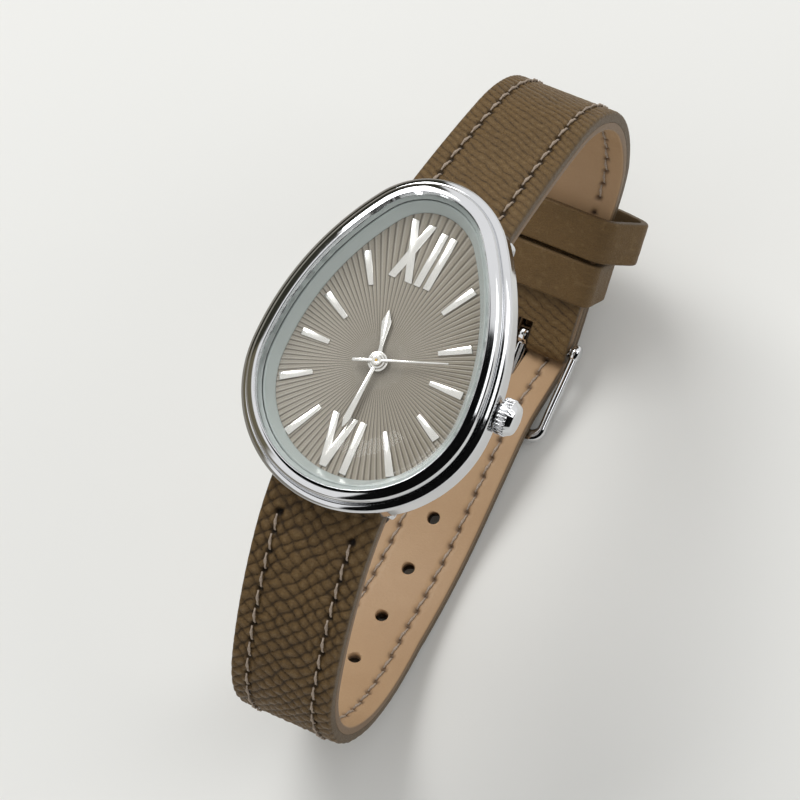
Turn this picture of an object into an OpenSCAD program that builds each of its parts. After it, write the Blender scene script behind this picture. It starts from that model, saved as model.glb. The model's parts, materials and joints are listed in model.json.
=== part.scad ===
// Quartz wrist watch with an egg-shaped case and a buckled leather strap.
// Every piece is drawn in the dial's own frame: X runs from 9 to 3 o'clock, Y from 6 to 12 o'clock,
// and Z stands out of the dial, whose face is Z = 0. The whole watch is then leaned and lifted
// so that its closed strap stands on a table.

/* [Case] */
// Radius of the big round end of the egg, at 6 o'clock
case_r = 12.5; // [12.2:0.1:13]
// Radius of the small end of the egg, at 12 o'clock
tip_r = 8.345; // [8.1:0.005:8.6]
// Length of the case from the 6 o'clock end to the 12 o'clock end
case_len = 33.6; // [33:0.1:35]
// How far the middle of the big end lies below the hands
egg_drop = 2.35; // [2:0.05:2.6]
// Height of the upright case wall
wall_h = 2.35; // [2:0.05:2.6]
// Height of the wall's upper edge above the dial
wall_top = 0.35; // [0.2:0.05:0.45]
// Depth from the wall's foot to the flat underside
under_h = 1.5; // [1.4:0.05:1.7]
// How far the flat underside lies in from the wall
under_in = 1.5; // [1.2:0.1:1.8]
// Radius of the round well that holds the movement
well_r = 9.8; // [9.7:0.05:9.95]
// Radius of the pressed-in back
back_r = 10.6; // [10.5:0.05:10.8]
// Thickness of the back
back_t = 0.8; // [0.6:0.05:1]
// Thickness of the back's flat seal
seal_t = 0.1; // [0.08:0.01:0.14]
// Width of each lug under the case
lug_w = 0.8; // [0.7:0.1:1.1]
// Radius of each lug's round end
lug_r = 0.75; // [0.7:0.05:0.9]

/* [Bezel and glass] */
// Width of the bezel's rim, from the wall in to the glass
bezel_in = 1.9; // [1.7:0.05:2]
// Height of the glass's edge above the dial
glass_top = 2.1; // [2:0.05:2.3]
// Thickness of the glass at its edge
glass_t = 0.8; // [0.6:0.05:0.9]
// Rise of the glass towards its middle
glass_dome = 0.12; // [0.05:0.01:0.2]
// Thickness of the glass's seal
glass_seal_t = 0.15; // [0.1:0.01:0.2]
// Width of the grey ring between the glass and the dial
ring_w = 1.15; // [0.9:0.05:1.3]

/* [Dial and hands] */
// Thickness of the dial plate
dial_t = 0.4; // [0.3:0.05:0.45]
// Thickness of the raised hour markers and numerals
marker_t = 0.14; // [0.08:0.01:0.18]
// Width of a marker at its outer end
marker_w = 0.8; // [0.6:0.05:0.95]
// Width of a marker at its inner end
marker_tip_w = 0.5; // [0.35:0.05:0.6]
// Height of the numeral at 12 o'clock
twelve_h = 5.9; // [5:0.1:6.3]
// Height of the numeral at 6 o'clock
six_h = 5.1; // [4.6:0.1:5.6]
// Stroke width of the numerals
stroke_w = 0.72; // [0.55:0.01:0.8]
// Length of the hour hand from the centre
hour_len = 5.1; // [4.5:0.1:5.6]
// Length of the minute hand from the centre
minute_len = 7.1; // [6.4:0.1:7.4]
// Length of the seconds hand from the centre
seconds_len = 7; // [6:0.1:7.6]
// Thickness of a hand
hand_t = 0.13; // [0.1:0.01:0.15]
// Gap between one hand and the next
hand_gap = 0.13; // [0.1:0.01:0.15]
// Direction of the hour hand, clockwise from 12 o'clock
hour_angle = 348; // [0:1:359]
// Direction of the minute hand, clockwise from 12 o'clock
minute_angle = 184; // [0:1:359]
// Direction of the seconds hand, clockwise from 12 o'clock
seconds_angle = 71; // [0:1:359]

/* [Crown] */
// Depth of the crown's axis below the dial
stem_drop = 1.9; // [1.85:0.01:1.95]
// Radius of the crown
crown_r = 1.85; // [1.6:0.05:2]
// Length of the crown's ridged part
grip_len = 1.05; // [0.9:0.05:1.2]
// Length of the crown's cone
cap_len = 0.6; // [0.4:0.05:0.8]
// Number of ridges round the crown
ridges = 28; // [22:1:32]
// Depth of the grooves between the ridges
ridge_h = 0.16; // [0.1:0.01:0.2]
// Radius of the winding stem
stem_r = 0.45; // [0.4:0.01:0.48]
// Outer radius of the tube that the crown slides on
tube_r = 0.9; // [0.8:0.05:0.95]

/* [Movement] */
// Radius of the movement's main plate
plate_r = 9.3; // [9.2:0.05:9.4]
// Width of the main plate between its flats
plate_w = 15.3; // [14.8:0.1:16]
// Radius of the button cell
cell_r = 3.4; // [3.3:0.05:3.4]
// Height of the button cell
cell_h = 2.1; // [1.9:0.05:2.15]
// Distance of the button cell from the hands
cell_dist = 5.42; // [5.4:0.01:5.5]
// Radius of the seconds arbor
arbor_r = 0.12; // [0.1:0.01:0.13]
// Radius of the other arbors
pivot_r = 0.1; // [0.08:0.01:0.11]
// Thickness of a wheel
wheel_t = 0.15; // [0.1:0.01:0.16]
// Radial clearance of a turning arbor in its hole
run_fit = 0.04; // [0.02:0.01:0.05]

/* [Strap] */
// Width of the strap at the case
strap_w = 12; // [11:0.1:12.4]
// Width of the long half where it turns under
long_mid_w = 11.2; // [10.6:0.1:11.4]
// Width of the long half round the back
long_end_w = 10; // [9.6:0.1:10.2]
// Width of the short half where it turns under
short_mid_w = 11.3; // [11:0.1:11.6]
// Width of the short half at the buckle
short_end_w = 10.5; // [10.2:0.1:10.6]
// Thickness of the outer leather
leather_t = 1.15; // [1:0.05:1.3]
// Thickness of the lining
lining_t = 0.85; // [0.7:0.05:1]
// Radius of the leather round each lug's bar
bar_loop_r = 1.4; // [1.3:0.05:1.45]
// Radius of the spring bars
bar_r = 0.75; // [0.65:0.05:0.8]
// Distance between the holes
hole_pitch = 6.4; // [6:0.1:6.4]
// Number of free holes
free_holes = 6; // [4:1:6]
// Radius of a hole
hole_r = 0.7; // [0.6:0.05:0.8]
// Length of the tail past the bar of the buckle
tail_len = 14; // [12:0.5:14.5]

/* [Buckle and keepers] */
// Thickness of the leather folded back at the buckle
flap_t = 0.9; // [0.7:0.05:1]
// Length of the folded leather along the inside
flap_len = 10.3; // [9:0.1:10.5]
// Radius of the cross bar
cross_r = 0.75; // [0.6:0.05:0.85]
// Width of each arm of the buckle
arm_w = 1; // [0.8:0.1:1.2]
// Radius of the buckle's bar
pin_bar_r = 0.6; // [0.5:0.05:0.65]
// Width of the tongue
tongue_w = 1.2; // [0.9:0.1:1.2]
// Thickness of the tongue
tongue_t = 0.8; // [0.6:0.05:0.8]
// Dip of the long half on its way over the buckle's bar, in degrees
dip = 28; // [27:0.5:29]
// Lean of the tongue in its hole, in degrees from square to the strap
tongue_lean = 50; // [47:0.5:51]
// Width of a keeper along the strap
keeper_w = 4.7; // [4:0.1:4.8]
// Thickness of a keeper's leather
keeper_t = 0.9; // [0.7:0.05:1]
// Distance from the buckle's bar to the fixed keeper
keeper_start = 5.6; // [5:0.1:5.8]
// Gap between the fixed keeper and the free one
keeper_gap = 0.4; // [0.3:0.05:0.5]
// How far the empty side of the free keeper hangs out past the strap
keeper_hang = 2.4; // [1.5:0.1:3]

/* [Hidden] */
$fn = 48;

// Egg outline: a big end, two side curves and a small end, tangent to each other
egg_y = -egg_drop;
tip_up = case_len - case_r - tip_r;
side_r = (case_r * case_r + tip_up * tip_up - tip_r * tip_r) / (2 * (case_r - tip_r));
side_x = side_r - case_r;
tip_y = egg_y + tip_up;
foot_y = egg_y - case_r;
head_y = foot_y + case_len;
tip_angle = atan2(tip_up, side_x);
function arc_pts(c, r, a0, a1, n) =
    [for (i = [0:n - 1]) let (a = a0 + (a1 - a0) * i / n) c + r * [cos(a), sin(a)]];
// The outline set in by d, counter-clockwise from 9 o'clock
function egg(d) = concat(
    arc_pts([0, egg_y], case_r - d, 180, 360, 26),
    arc_pts([-side_x, egg_y], side_r - d, 0, tip_angle, 8),
    arc_pts([0, tip_y], tip_r - d, tip_angle, 180 - tip_angle, 14),
    arc_pts([side_x, egg_y], side_r - d, 180 - tip_angle, 180, 8));
// Distance from the hands to a circle round c, along the direction u
function to_circle(c, r, u) = c * u + sqrt(pow(c * u, 2) - c * c + r * r);
// Distance from the hands to the egg set in by d, in a direction clockwise from 12 o'clock
function egg_reach(a, d) = let (u = [sin(a), cos(a)], low = to_circle([0, egg_y], case_r - d, u),
    c = [u.x < 0 ? side_x : -side_x, egg_y], side = to_circle(c, side_r - d, u), p = side * u - c)
    low * u.y < egg_y ? low :
    atan2(p.y, abs(p.x)) < tip_angle ? side : to_circle([0, tip_y], tip_r - d, u);

// Levels of the case and dial
wall_foot = wall_top - wall_h;
under_z = wall_foot - under_h;
glass_under = glass_top - glass_t;
seat_z = glass_under - glass_seal_t;
dial_in = 2.5;
visible_in = bezel_in + 0.5 + ring_w;
stem_z = -stem_drop;
fit = 0.05;
slim = 0.02;

// Levels of the movement, down from the dial's underside
hour_wheel_z = -dial_t - 0.32;
minute_wheel_z = hour_wheel_z - 0.26;
plate_top = minute_wheel_z - 0.1;
plate_t = 0.67;
plate_under = plate_top - plate_t;
centre_wheel_z = plate_under - 0.08 - wheel_t;
third_wheel_z = centre_wheel_z - 0.42;
seconds_wheel_z = third_wheel_z - 0.3;
fifth_wheel_z = seconds_wheel_z - 0.26;
bridge_top = fifth_wheel_z - 0.1;
bridge_t = 0.3;
pivot_z = bridge_top - 0.2;

// Wheel trains: teeth, and the centre distances that they give with each module
train_mod = 0.0794;
centre_mod = 0.075;
fifth_mod = 0.09;
rotor_mod = 0.075;
cannon_mod = 0.15;
hour_mod = 0.16;
third_at = [for (u = [cos(200), sin(200)]) u * centre_mod * (48 + 6) / 2];
fifth_at = [for (u = [cos(285), sin(285)]) u * fifth_mod * (30 + 6) / 2];
rotor_at = fifth_at + [for (u = [cos(300), sin(300)]) u * rotor_mod * (36 + 6) / 2];
minute_at = [for (u = [cos(60), sin(60)]) u * cannon_mod * (8 + 24) / 2];
cell_at = [-0.8, sqrt(cell_dist * cell_dist - 0.64)];
coil_y = -6.3;
coil_z = centre_wheel_z - 0.67;
coil_r = 0.8;
stator_z = coil_z + 0.22;
rotor_r = 0.65;

// Levels of the hands
hour_z = marker_t + 0.14;
minute_z = hour_z + hand_t + hand_gap;
seconds_z = minute_z + hand_t + hand_gap;

// Strap paths in the plane across the case, as [y, z], a heading and [length, turn] pieces
function step_of(p, h, l, turn, f) = turn == 0 ? p + f * l * [cos(h), sin(h)] :
    let (r = l * 180 / (PI * turn))
    p + r * [sin(h + f * turn) - sin(h), cos(h) - cos(h + f * turn)];
function steps(turn) = max(1, ceil(abs(turn) / 5));
// Points [y, z, heading] along a path
function walk(p, h, s, i = 0) = i >= len(s) ? [[p.x, p.y, h]] :
    let (l = s[i][0], t = s[i][1], n = steps(t))
    concat([for (k = [0:n - 1]) let (q = step_of(p, h, l, t, k / n)) [q.x, q.y, h + t * k / n]],
        walk(step_of(p, h, l, t, 1), h + t, s, i + 1));
// A point moved to the left of its heading
function beside(q, o) = [q[0] - o * sin(q[2]), q[1] + o * cos(q[2])];
strap_t = leather_t + lining_t;
// The two lug bars
bar_six = [foot_y + 2.5, under_z + 0.1];
bar_twelve = [head_y - 3.75, under_z - 0.22];
long_heading = 184;
short_heading = -31;
long_turns = [[1.8, 8], [6, 17], [14, 18], [15, 64], [13, 38], [19, 29]];
short_turns = [[0.93, 0], [16, -8], [24, -84], [8, -32], [14, 0]];
long_start = bar_six + bar_loop_r * [sin(long_heading), -cos(long_heading)];
short_start = bar_twelve + bar_loop_r * [-sin(short_heading), cos(short_heading)];
short_path = walk(short_start, short_heading, short_turns);
short_end = short_path[len(short_path) - 1];
// The buckle's bar, in the middle of the folded end of the short half
fold_r = (strap_t + flap_t) / 2;
buckle_bar = beside(short_end, -fold_r);
strap_slope = short_end[2] + 180;
// The long half runs under the cross bar, dips over the buckle's bar and follows the short half
long_bend = walk(long_start, long_heading, long_turns);
bend_end = long_bend[len(long_bend) - 1];
back_heading = bend_end[2] - 360;
over_r = fold_r + fit + strap_t;
dip_foot = buckle_bar + over_r * [sin(-dip), -cos(-dip)];
dip_run = let (d = dip_foot - [bend_end[0], bend_end[1]], u = [cos(back_heading), sin(back_heading)],
        v = [cos(-dip), sin(-dip)]) (d.x * u.y - d.y * u.x) / (v.x * u.y - v.y * u.x);
back_run = let (d = dip_foot - [bend_end[0], bend_end[1]], u = [cos(back_heading), sin(back_heading)],
        v = [cos(-dip), sin(-dip)]) (v.x * d.y - v.y * d.x) / (v.x * u.y - v.y * u.x);
dip_turn = -dip - back_heading;
bend_r = 10;
bend_t = bend_r * tan(abs(dip_turn) / 2);
long_path = walk(long_start, long_heading, concat(long_turns, [
    [back_run - bend_t, 0], [bend_r * abs(dip_turn) * PI / 180, dip_turn], [dip_run - bend_t, 0],
    [over_r * (dip + strap_slope) * PI / 180, dip + strap_slope], [tail_len, 0]]));
long_fold_z = -22.5;
short_fold_z = -25;
swing = 20;
// Distance of the used hole's middle from the foot of the dip, and the tongue's way through it
tongue_foot = over_r - strap_t;
hole_near = tongue_foot * tan(tongue_lean - swing) - tongue_t * 0.8;
hole_far = over_r * tan(tongue_lean) + tongue_t * 0.9;
hole_mid = (hole_near + hole_far) / 2;
// The cross bar lies against the outside of the bend
bend_mid = back_heading + dip_turn / 2;
bend_out = [sin(bend_mid), -cos(bend_mid)];
bend_corner = [bend_end[0], bend_end[1]] + back_run * [cos(back_heading), sin(back_heading)];
cross_bar = bend_corner + (bend_r / cos(dip_turn / 2) - bend_r + cross_r + fit) * bend_out;

// Resting pose: the lean that stands the strap on its back and on the fold over the buckle's bar
rest_pt = let (m = min([for (p = long_path) p[0] > 8 ? p[1] + 0.2 * p[0] : 99]))
    [for (p = long_path) if (p[0] > 8 && p[1] + 0.2 * p[0] < m + 0.0001) [p[0], p[1]]][0];
lean = min([for (p = long_path) p[0] < 0 && p[1] < -30 ?
    atan2(p[1] - rest_pt.y, rest_pt.x - p[0]) : 90]);
function leaned(p) = [p[0] * cos(lean) - p[1] * sin(lean), p[0] * sin(lean) + p[1] * cos(lean)];
crown_face = case_r + fit + grip_len + cap_len + 0.1;
low_y = min([for (p = long_path) leaned(p).x]);
high_y = max([for (p = short_path) leaned(p).x]);
shift_x = (case_r - crown_face) / 2;
shift_y = -(low_y + high_y) / 2;
shift_z = -leaned(rest_pt).y;

// Stands the dial's frame on the table
module stand() {
    translate([shift_x, shift_y, shift_z]) rotate([lean, 0, 0]) children();
}

// A closed band through egg rings [inset, z], from the top down outside and up inside
module egg_band(rings) {
    pts = [for (r = rings) for (q = egg(r[0])) [q.x, q.y, r[1]]];
    n = len(egg(0));
    m = len(rings);
    polyhedron(points = pts, faces = [for (i = [0:m - 1]) for (j = [0:n - 1])
        let (k = (j + 1) % n, h = (i + 1) % m) [i * n + j, i * n + k, h * n + k, h * n + j]]);
}

// A closed body through egg rings [inset, z] from the top down, with flat ends
module egg_body(rings) {
    pts = [for (r = rings) for (q = egg(r[0])) [q.x, q.y, r[1]]];
    n = len(egg(0));
    m = len(rings);
    polyhedron(points = pts, faces = concat([[for (j = [n - 1:-1:0]) j]],
        [for (i = [0:m - 2]) for (j = [0:n - 1])
            let (k = (j + 1) % n) [i * n + j, i * n + k, (i + 1) * n + k, (i + 1) * n + j]],
        [[for (j = [0:n - 1]) (m - 1) * n + j]]));
}

// A ring with a round hole
module ring(r_out, r_in, z, h) {
    translate([0, 0, z]) difference() {
        cylinder(r = r_out, h = h);
        translate([0, 0, -1]) cylinder(r = r_in, h = h + 2);
    }
}

// A bar along X, from x = a to x = b, at [y, z]
module bar_x(p, r, a, b) {
    translate([a, p.x, p.y]) rotate([0, 90, 0]) cylinder(r = r, h = b - a);
}

// A flat shape in the plane across the case, w wide along X and centred
module across(w) {
    translate([-w / 2, 0, 0]) rotate([90, 0, 90]) linear_extrude(w) children();
}

// A strip between two offsets from a path, in the plane across the case
module strip(path, a, b) {
    n = len(path);
    polygon(concat([for (p = path) beside(p, a)], [for (i = [n - 1:-1:0]) beside(path[i], b)]));
}

// Upright prism with a given outline seen from above
module prism(outline, z0, z1) {
    translate([0, 0, z0]) linear_extrude(z1 - z0) polygon(outline);
}

// Taper of the long half: wide at the case, even over the fold, narrow round the back
module long_taper() {
    prism([[-strap_w / 2, -12], [-long_mid_w / 2, -32], [-long_mid_w / 2, -37], [long_mid_w / 2, -37],
        [long_mid_w / 2, -32], [strap_w / 2, -12]], long_fold_z, 0);
    prism([[-long_mid_w / 2, -37], [long_mid_w / 2, -37], [long_mid_w / 2, -32], [long_end_w / 2, -22],
        [long_end_w / 2, 40], [-long_end_w / 2, 40], [-long_end_w / 2, -22], [-long_mid_w / 2, -32]],
        -60, long_fold_z);
}

// Taper of the short half: wide at the case, even over the fold, narrow at the buckle
module short_taper() {
    prism([[-strap_w / 2, 14], [strap_w / 2, 14], [short_mid_w / 2, 33], [short_mid_w / 2, 38],
        [-short_mid_w / 2, 38], [-short_mid_w / 2, 33]], short_fold_z, 0);
    prism([[-short_mid_w / 2, 38], [-short_mid_w / 2, 33], [-short_end_w / 2, 28], [-short_end_w / 2, 8],
        [short_end_w / 2, 8], [short_end_w / 2, 28], [short_mid_w / 2, 33], [short_mid_w / 2, 38]],
        -60, short_fold_z);
}

// Places a piece at the buckle's bar: Y runs up the short half and Z into the loop
module at_buckle() {
    translate([0, buckle_bar.x, buckle_bar.y]) rotate([strap_slope, 0, 0]) children();
}

// A toothed wheel: pitch radius z * m / 2, thin tapered teeth, turned by a
module wheel(z, m, h, a = 0, bore = 0) {
    r = z * m / 2;
    pitch = 360 / z;
    small = z < 12;
    tip = r + m * 0.8;
    root = r - m * 1.15;
    difference() {
        rotate(a) linear_extrude(h) polygon([for (i = [0:z - 1])
            for (q = [[root, -0.22], [tip, -0.08], [tip, 0.08], [root, 0.22]])
            let (w = (small ? 0.8 : 1) * q[1]) q[0] * [cos((i + w) * pitch), sin((i + w) * pitch)]]);
        if (bore > 0) translate([0, 0, -1]) cylinder(r = bore, h = h + 2);
    }
}
// Turn that points a gap of a z-toothed wheel, or a tooth, in direction a
function gap_to(z, a) = a + 180 / z;

// Outline of the main plate and what fits round it
module plate_outline(grow = 0) {
    intersection() {
        circle(r = plate_r + grow);
        square([plate_w + 2 * grow, 3 * plate_r], center = true);
    }
}

module case_middle() {
    pin = strap_w / 2 + 0.1 + 0.9 * lug_w;
    color("silver") difference() {
        union() {
            difference() {
                egg_body([[0.7, 0.95], [0.45, 0.9], [0.2, 0.72], [0.05, 0.52], [0, wall_top],
                    [0, wall_foot], [0.12, wall_foot - 0.5], [0.45, wall_foot - 1],
                    [0.95, under_z + 0.15], [under_in, under_z]]);
                egg_body([[0.72, 2], [0.72, 0.25], [dial_in - 0.1, 0.25], [dial_in - 0.1, -dial_t]]);
                translate([0, 0, under_z - 1]) cylinder(r = well_r, h = -under_z + 1);
                bar_x([0, stem_z], tube_r + slim, 6, case_r + 2);
                lug_recess(bar_six, -1);
                lug_recess(bar_twelve, 1);
            }
            lug_pair(bar_six, -1);
            lug_pair(bar_twelve, 1);
        }
        bar_x(bar_six, 0.4, -pin, pin);
        bar_x(bar_twelve, 0.4, -pin, pin);
    }
}

// Room for the end of a strap half; side is -1 at 6 o'clock and 1 at 12 o'clock
module lug_recess(p, side) {
    w = strap_w + 0.3;
    back = p.x - side * (bar_loop_r + 0.12);
    y0 = side < 0 ? p.x - 6 : back;
    y1 = side < 0 ? back : p.x + 6;
    translate([-w / 2, y0, under_z - 2]) cube([w, y1 - y0, p.y + bar_loop_r + 0.1 - under_z + 2]);
}

// The two lugs that hold a spring bar
module lug_pair(p, side) {
    for (s = [-1, 1]) {
        x0 = s > 0 ? strap_w / 2 + 0.1 : -strap_w / 2 - 0.1 - lug_w;
        bar_x(p, lug_r, x0, x0 + lug_w);
        translate([x0, p.x - lug_r, p.y]) cube([lug_w, 2 * lug_r, wall_foot - p.y - 0.02]);
        translate([x0, side < 0 ? p.x : p.x - 3, under_z - 0.6]) cube([lug_w, 3, 0.9]);
    }
}

module bezel() {
    color("gainsboro") egg_band([[bezel_in, glass_top], [1.7, 2.32], [1.45, 2.38], [1.2, 2.24],
        [0.98, 1.95], [0.83, 1.55], [0.75, 1.05], [0.75, 0.3], [dial_in - 0.15, 0.3],
        [dial_in - 0.15, seat_z], [bezel_in, seat_z]]);
}

module crystal() {
    d = bezel_in + 0.02;
    color([0.85, 0.9, 0.92, 0.35]) egg_body([[8, glass_top + glass_dome], [5, glass_top + glass_dome * 0.8],
        [d + 1, glass_top + glass_dome * 0.35], [d + 0.1, glass_top], [d, glass_top - 0.1], [d, glass_under]]);
}

module crystal_seal() {
    color("dimgray") egg_band([[bezel_in + 0.02, glass_under], [bezel_in + 0.02, seat_z],
        [dial_in - 0.18, seat_z], [dial_in - 0.18, glass_under]]);
}

module dial_ring() {
    color("darkgray") egg_band([[dial_in - 0.08, seat_z - 0.02], [dial_in - 0.08, 0],
        [visible_in, 0], [dial_in + 0.1, seat_z - 0.02]]);
}

module dial() {
    color("rosybrown") difference() {
        union() {
            translate([0, 0, -dial_t]) linear_extrude(dial_t) polygon(egg(dial_in));
            for (s = [-1, 1]) translate([s * 6.2, s * -4.6, -dial_t - 0.5]) cylinder(r = 0.35, h = 0.6);
        }
        translate([0, 0, -dial_t - 1]) cylinder(r = 0.85, h = 3);
    }
}

// One tapered marker, drawn towards 12 o'clock from the hands
module marker(r_in, r_out) {
    linear_extrude(marker_t) polygon([[-marker_tip_w / 2, r_in], [marker_tip_w / 2, r_in],
        [marker_w / 2, r_out], [-marker_w / 2, r_out]]);
}

// Markers by hour: distance from the dial's visible edge, and length
markers_at = [[1, 0.52, 3.6], [2, 0.4, 3.1], [3, 0.25, 3.2], [4, 0.59, 2.75], [5, 0.03, 4.1],
    [7, 0.03, 3.95], [8, 0.24, 3.2], [9, 0.7, 2.85], [10, 0.7, 3.05], [11, 0.67, 3.4]];
module hour_markers() {
    color("whitesmoke") for (e = markers_at) let (r = egg_reach(30 * e[0], visible_in) - e[1])
        rotate(-30 * e[0]) marker(r - e[2], r);
}

// A slanted stroke between two heights, given the middle of its foot and of its head
module stroke(foot, head, y0, y1, w) {
    polygon([[foot - w / 2, y0], [foot + w / 2, y0], [head + w / 2, y1], [head - w / 2, y1]]);
}

module numeral_twelve() {
    y1 = head_y - visible_in - 1.2;
    y0 = y1 - twelve_h;
    color("whitesmoke") linear_extrude(marker_t) intersection() {
        union() {
            stroke(-2.35, -0.55, y0, y1, stroke_w * 1.1);
            stroke(-0.55, -2.35, y0, y1, stroke_w * 1.1);
            stroke(0.35, 0.85, y0, y1, stroke_w);
            stroke(1.35, 1.85, y0, y1, stroke_w);
        }
        circle(r = y1 - 0.25);
    }
}

module numeral_six() {
    y0 = foot_y + visible_in + 0.3;
    y1 = y0 + six_h;
    color("whitesmoke") linear_extrude(marker_t) {
        stroke(-0.85, -1.75, y0, y1, stroke_w);
        stroke(-0.85, 0.25, y0, y1, stroke_w);
        stroke(1.2, 1.2, y0, y1, stroke_w);
    }
}

// A hand: outline points [half width, distance] up one side, turned clockwise from 12 o'clock
module hand(side, a, z, boss_r, bore) {
    n = len(side);
    translate([0, 0, z]) rotate(-a) difference() {
        linear_extrude(hand_t) union() {
            polygon(concat([for (p = side) p], [for (i = [n - 1:-1:0]) [-side[i].x, side[i].y]]));
            circle(r = boss_r);
        }
        translate([0, 0, -1]) cylinder(r = bore, h = 3);
    }
}

module hour_hand() {
    color("white") hand([[0.28, 0], [0.3, 1.6], [0.5, hour_len - 1.2], [0.04, hour_len]],
        hour_angle, hour_z, 1, hour_pipe_r + slim / 2);
}

module minute_hand() {
    color("white") hand([[0.2, 0], [0.36, minute_len - 0.9], [0.05, minute_len]],
        minute_angle, minute_z, 0.75, cannon_r + slim / 2);
}

module seconds_hand() {
    color("white") {
        hand([[0.15, -2.4], [0.15, 0], [0.07, seconds_len]], seconds_angle, seconds_z, 0.5, arbor_r);
        ring(0.3, arbor_r, seconds_z + hand_t, 0.1);
    }
}

module case_back() {
    seat = under_z - seal_t;
    color("lightgray") {
        translate([0, 0, seat - back_t]) cylinder(r1 = back_r - 0.5, r2 = back_r, h = 0.5);
        translate([0, 0, seat - back_t + 0.5]) cylinder(r = back_r, h = back_t - 0.5);
        ring(well_r - fit, well_r - 0.6, seat - 0.02, seal_t + 0.17);
    }
}

module case_back_seal() {
    color("black") ring(back_r - 0.1, well_r + fit, under_z - seal_t, seal_t);
}

holder_foot = under_z + 0.17;
module movement_holder() {
    color("ivory") difference() {
        translate([0, 0, holder_foot]) cylinder(r = well_r - fit, h = -dial_t - fit - holder_foot);
        translate([0, 0, holder_foot - 1]) linear_extrude(6) plate_outline(fit);
        bar_x([0, stem_z], 0.75, 5, case_r);
    }
}

module main_plate() {
    color("burlywood") difference() {
        union() {
            translate([0, 0, plate_under]) linear_extrude(plate_t) plate_outline();
            translate([0, 0, plate_top - 0.1]) linear_extrude(-dial_t - fit - plate_top + 0.1) difference() {
                plate_outline();
                circle(r = 7);
            }
            translate([minute_at.x, minute_at.y, plate_top - 0.1]) cylinder(r = 0.2, h = 0.5);
        }
        translate([0, 0, -9]) cylinder(r = centre_tube_r + run_fit, h = 9);
        for (p = [third_at, fifth_at, rotor_at])
            translate([p.x, p.y, plate_under - 1]) cylinder(r = pivot_r + run_fit, h = 1.25);
        for (s = [-1, 1]) translate([s * 6.2, s * -4.6, -3]) cylinder(r = 0.4, h = 3);
        translate([cell_at.x, cell_at.y, -9]) cylinder(r = cell_r + 0.12, h = 9);
        translate([-4.4, coil_y - 1.1, -9]) cube([8.8, 2.2, 9]);
        bar_x([0, stem_z], stem_r + 0.08, 2.4, plate_r);
        translate([3.1, -0.9, plate_under - 1]) cube([1.9, 1.8, 9]);
    }
}

// Where the screws stand, and what they hold
screws_at = [[-4.1, -3.3], [3.9, -1.9], [-4.9, 1.1]];
module train_bridge() {
    color("tan") difference() {
        union() {
            translate([0, 0, bridge_top - bridge_t]) linear_extrude(bridge_t) polygon([[-5.6, 2],
                [-4.4, 2], [-1.6, 1.5], [1.4, 1.2], [2.4, -0.9], [4.6, -1.1], [4.6, -2.7],
                [2.6, -3.9], [0.6, -4.4], [-4.8, -4.2], [-5.6, -2.6]]);
            for (p = screws_at) translate([p.x, p.y, bridge_top - 0.1])
                cylinder(r = 0.6, h = plate_under - bridge_top + 0.1);
        }
        for (p = [[0, 0], third_at, fifth_at, rotor_at])
            translate([p.x, p.y, -9]) cylinder(r = (p == [0, 0] ? arbor_r : pivot_r) + run_fit, h = 9);
        for (p = screws_at) translate([p.x, p.y, -9]) cylinder(r = 0.3, h = 9);
    }
}

cell_top = bridge_top - bridge_t + cell_h + 0.02;
module battery() {
    color("silver") translate([cell_at.x, cell_at.y, cell_top - cell_h]) {
        cylinder(r = cell_r - 0.35, h = 0.35);
        translate([0, 0, 0.3]) cylinder(r = cell_r, h = cell_h - 0.3);
    }
}

module battery_clamp() {
    z = cell_top - cell_h - 0.14;
    eye = screws_at[2];
    color("gold") translate([0, 0, z]) linear_extrude(0.12) difference() {
        union() {
            translate(eye) circle(r = 1);
            polygon([[-5.5, 1.6], [-4.3, 1.1], [-2.2, 2.6], [1.4, 6.6], [0.6, 7.4], [-3, 5.4]]);
        }
        translate(eye) circle(r = 0.56);
    }
}

module coil() {
    color("peru") {
        bar_x([coil_y, coil_z], coil_r, -4, 4);
        for (s = [-1, 1]) translate([s * 5 - 0.8, coil_y - 0.7, coil_z - 0.2]) cube([1.6, 1.4, 0.4]);
        for (s = [-1, 1]) translate([s * 4.1 - 0.2, coil_y - 0.6, coil_z - 0.2]) cube([0.4, 1.2, 0.4]);
    }
}

module stator() {
    color("lightsteelblue") translate([0, 0, stator_z]) difference() {
        linear_extrude(0.38) union() {
            translate(rotor_at) circle(r = 1.35);
            polygon([[-5.7, coil_y - 0.7], [-4.3, coil_y - 0.7], [-4.3, -5.2], [0.6, -4.2],
                [0.9, -2.5], [-0.2, -3.2], [-5, -4.6], [-5.7, -5.2]]);
            polygon([[4.3, coil_y - 0.7], [5.7, coil_y - 0.7], [5.7, -5], [2.2, -1.9], [1.6, -2.4],
                [2, -4], [4.3, -5.2]]);
        }
        translate([rotor_at.x, rotor_at.y, -1]) cylinder(r = 0.95, h = 3);
    }
}

// An arbor between the plate and the bridge
module arbor(p) {
    translate([p.x, p.y, pivot_z]) cylinder(r = pivot_r, h = plate_under + 0.2 - pivot_z);
}

module rotor() {
    a = atan2(fifth_at.y - rotor_at.y, fifth_at.x - rotor_at.x);
    color("dimgray") {
        arbor(rotor_at);
        translate([rotor_at.x, rotor_at.y, stator_z + 0.02]) cylinder(r = rotor_r, h = 0.55);
        translate([rotor_at.x, rotor_at.y, fifth_wheel_z - 0.02]) wheel(6, rotor_mod, 0.2, gap_to(6, a));
    }
}

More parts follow.
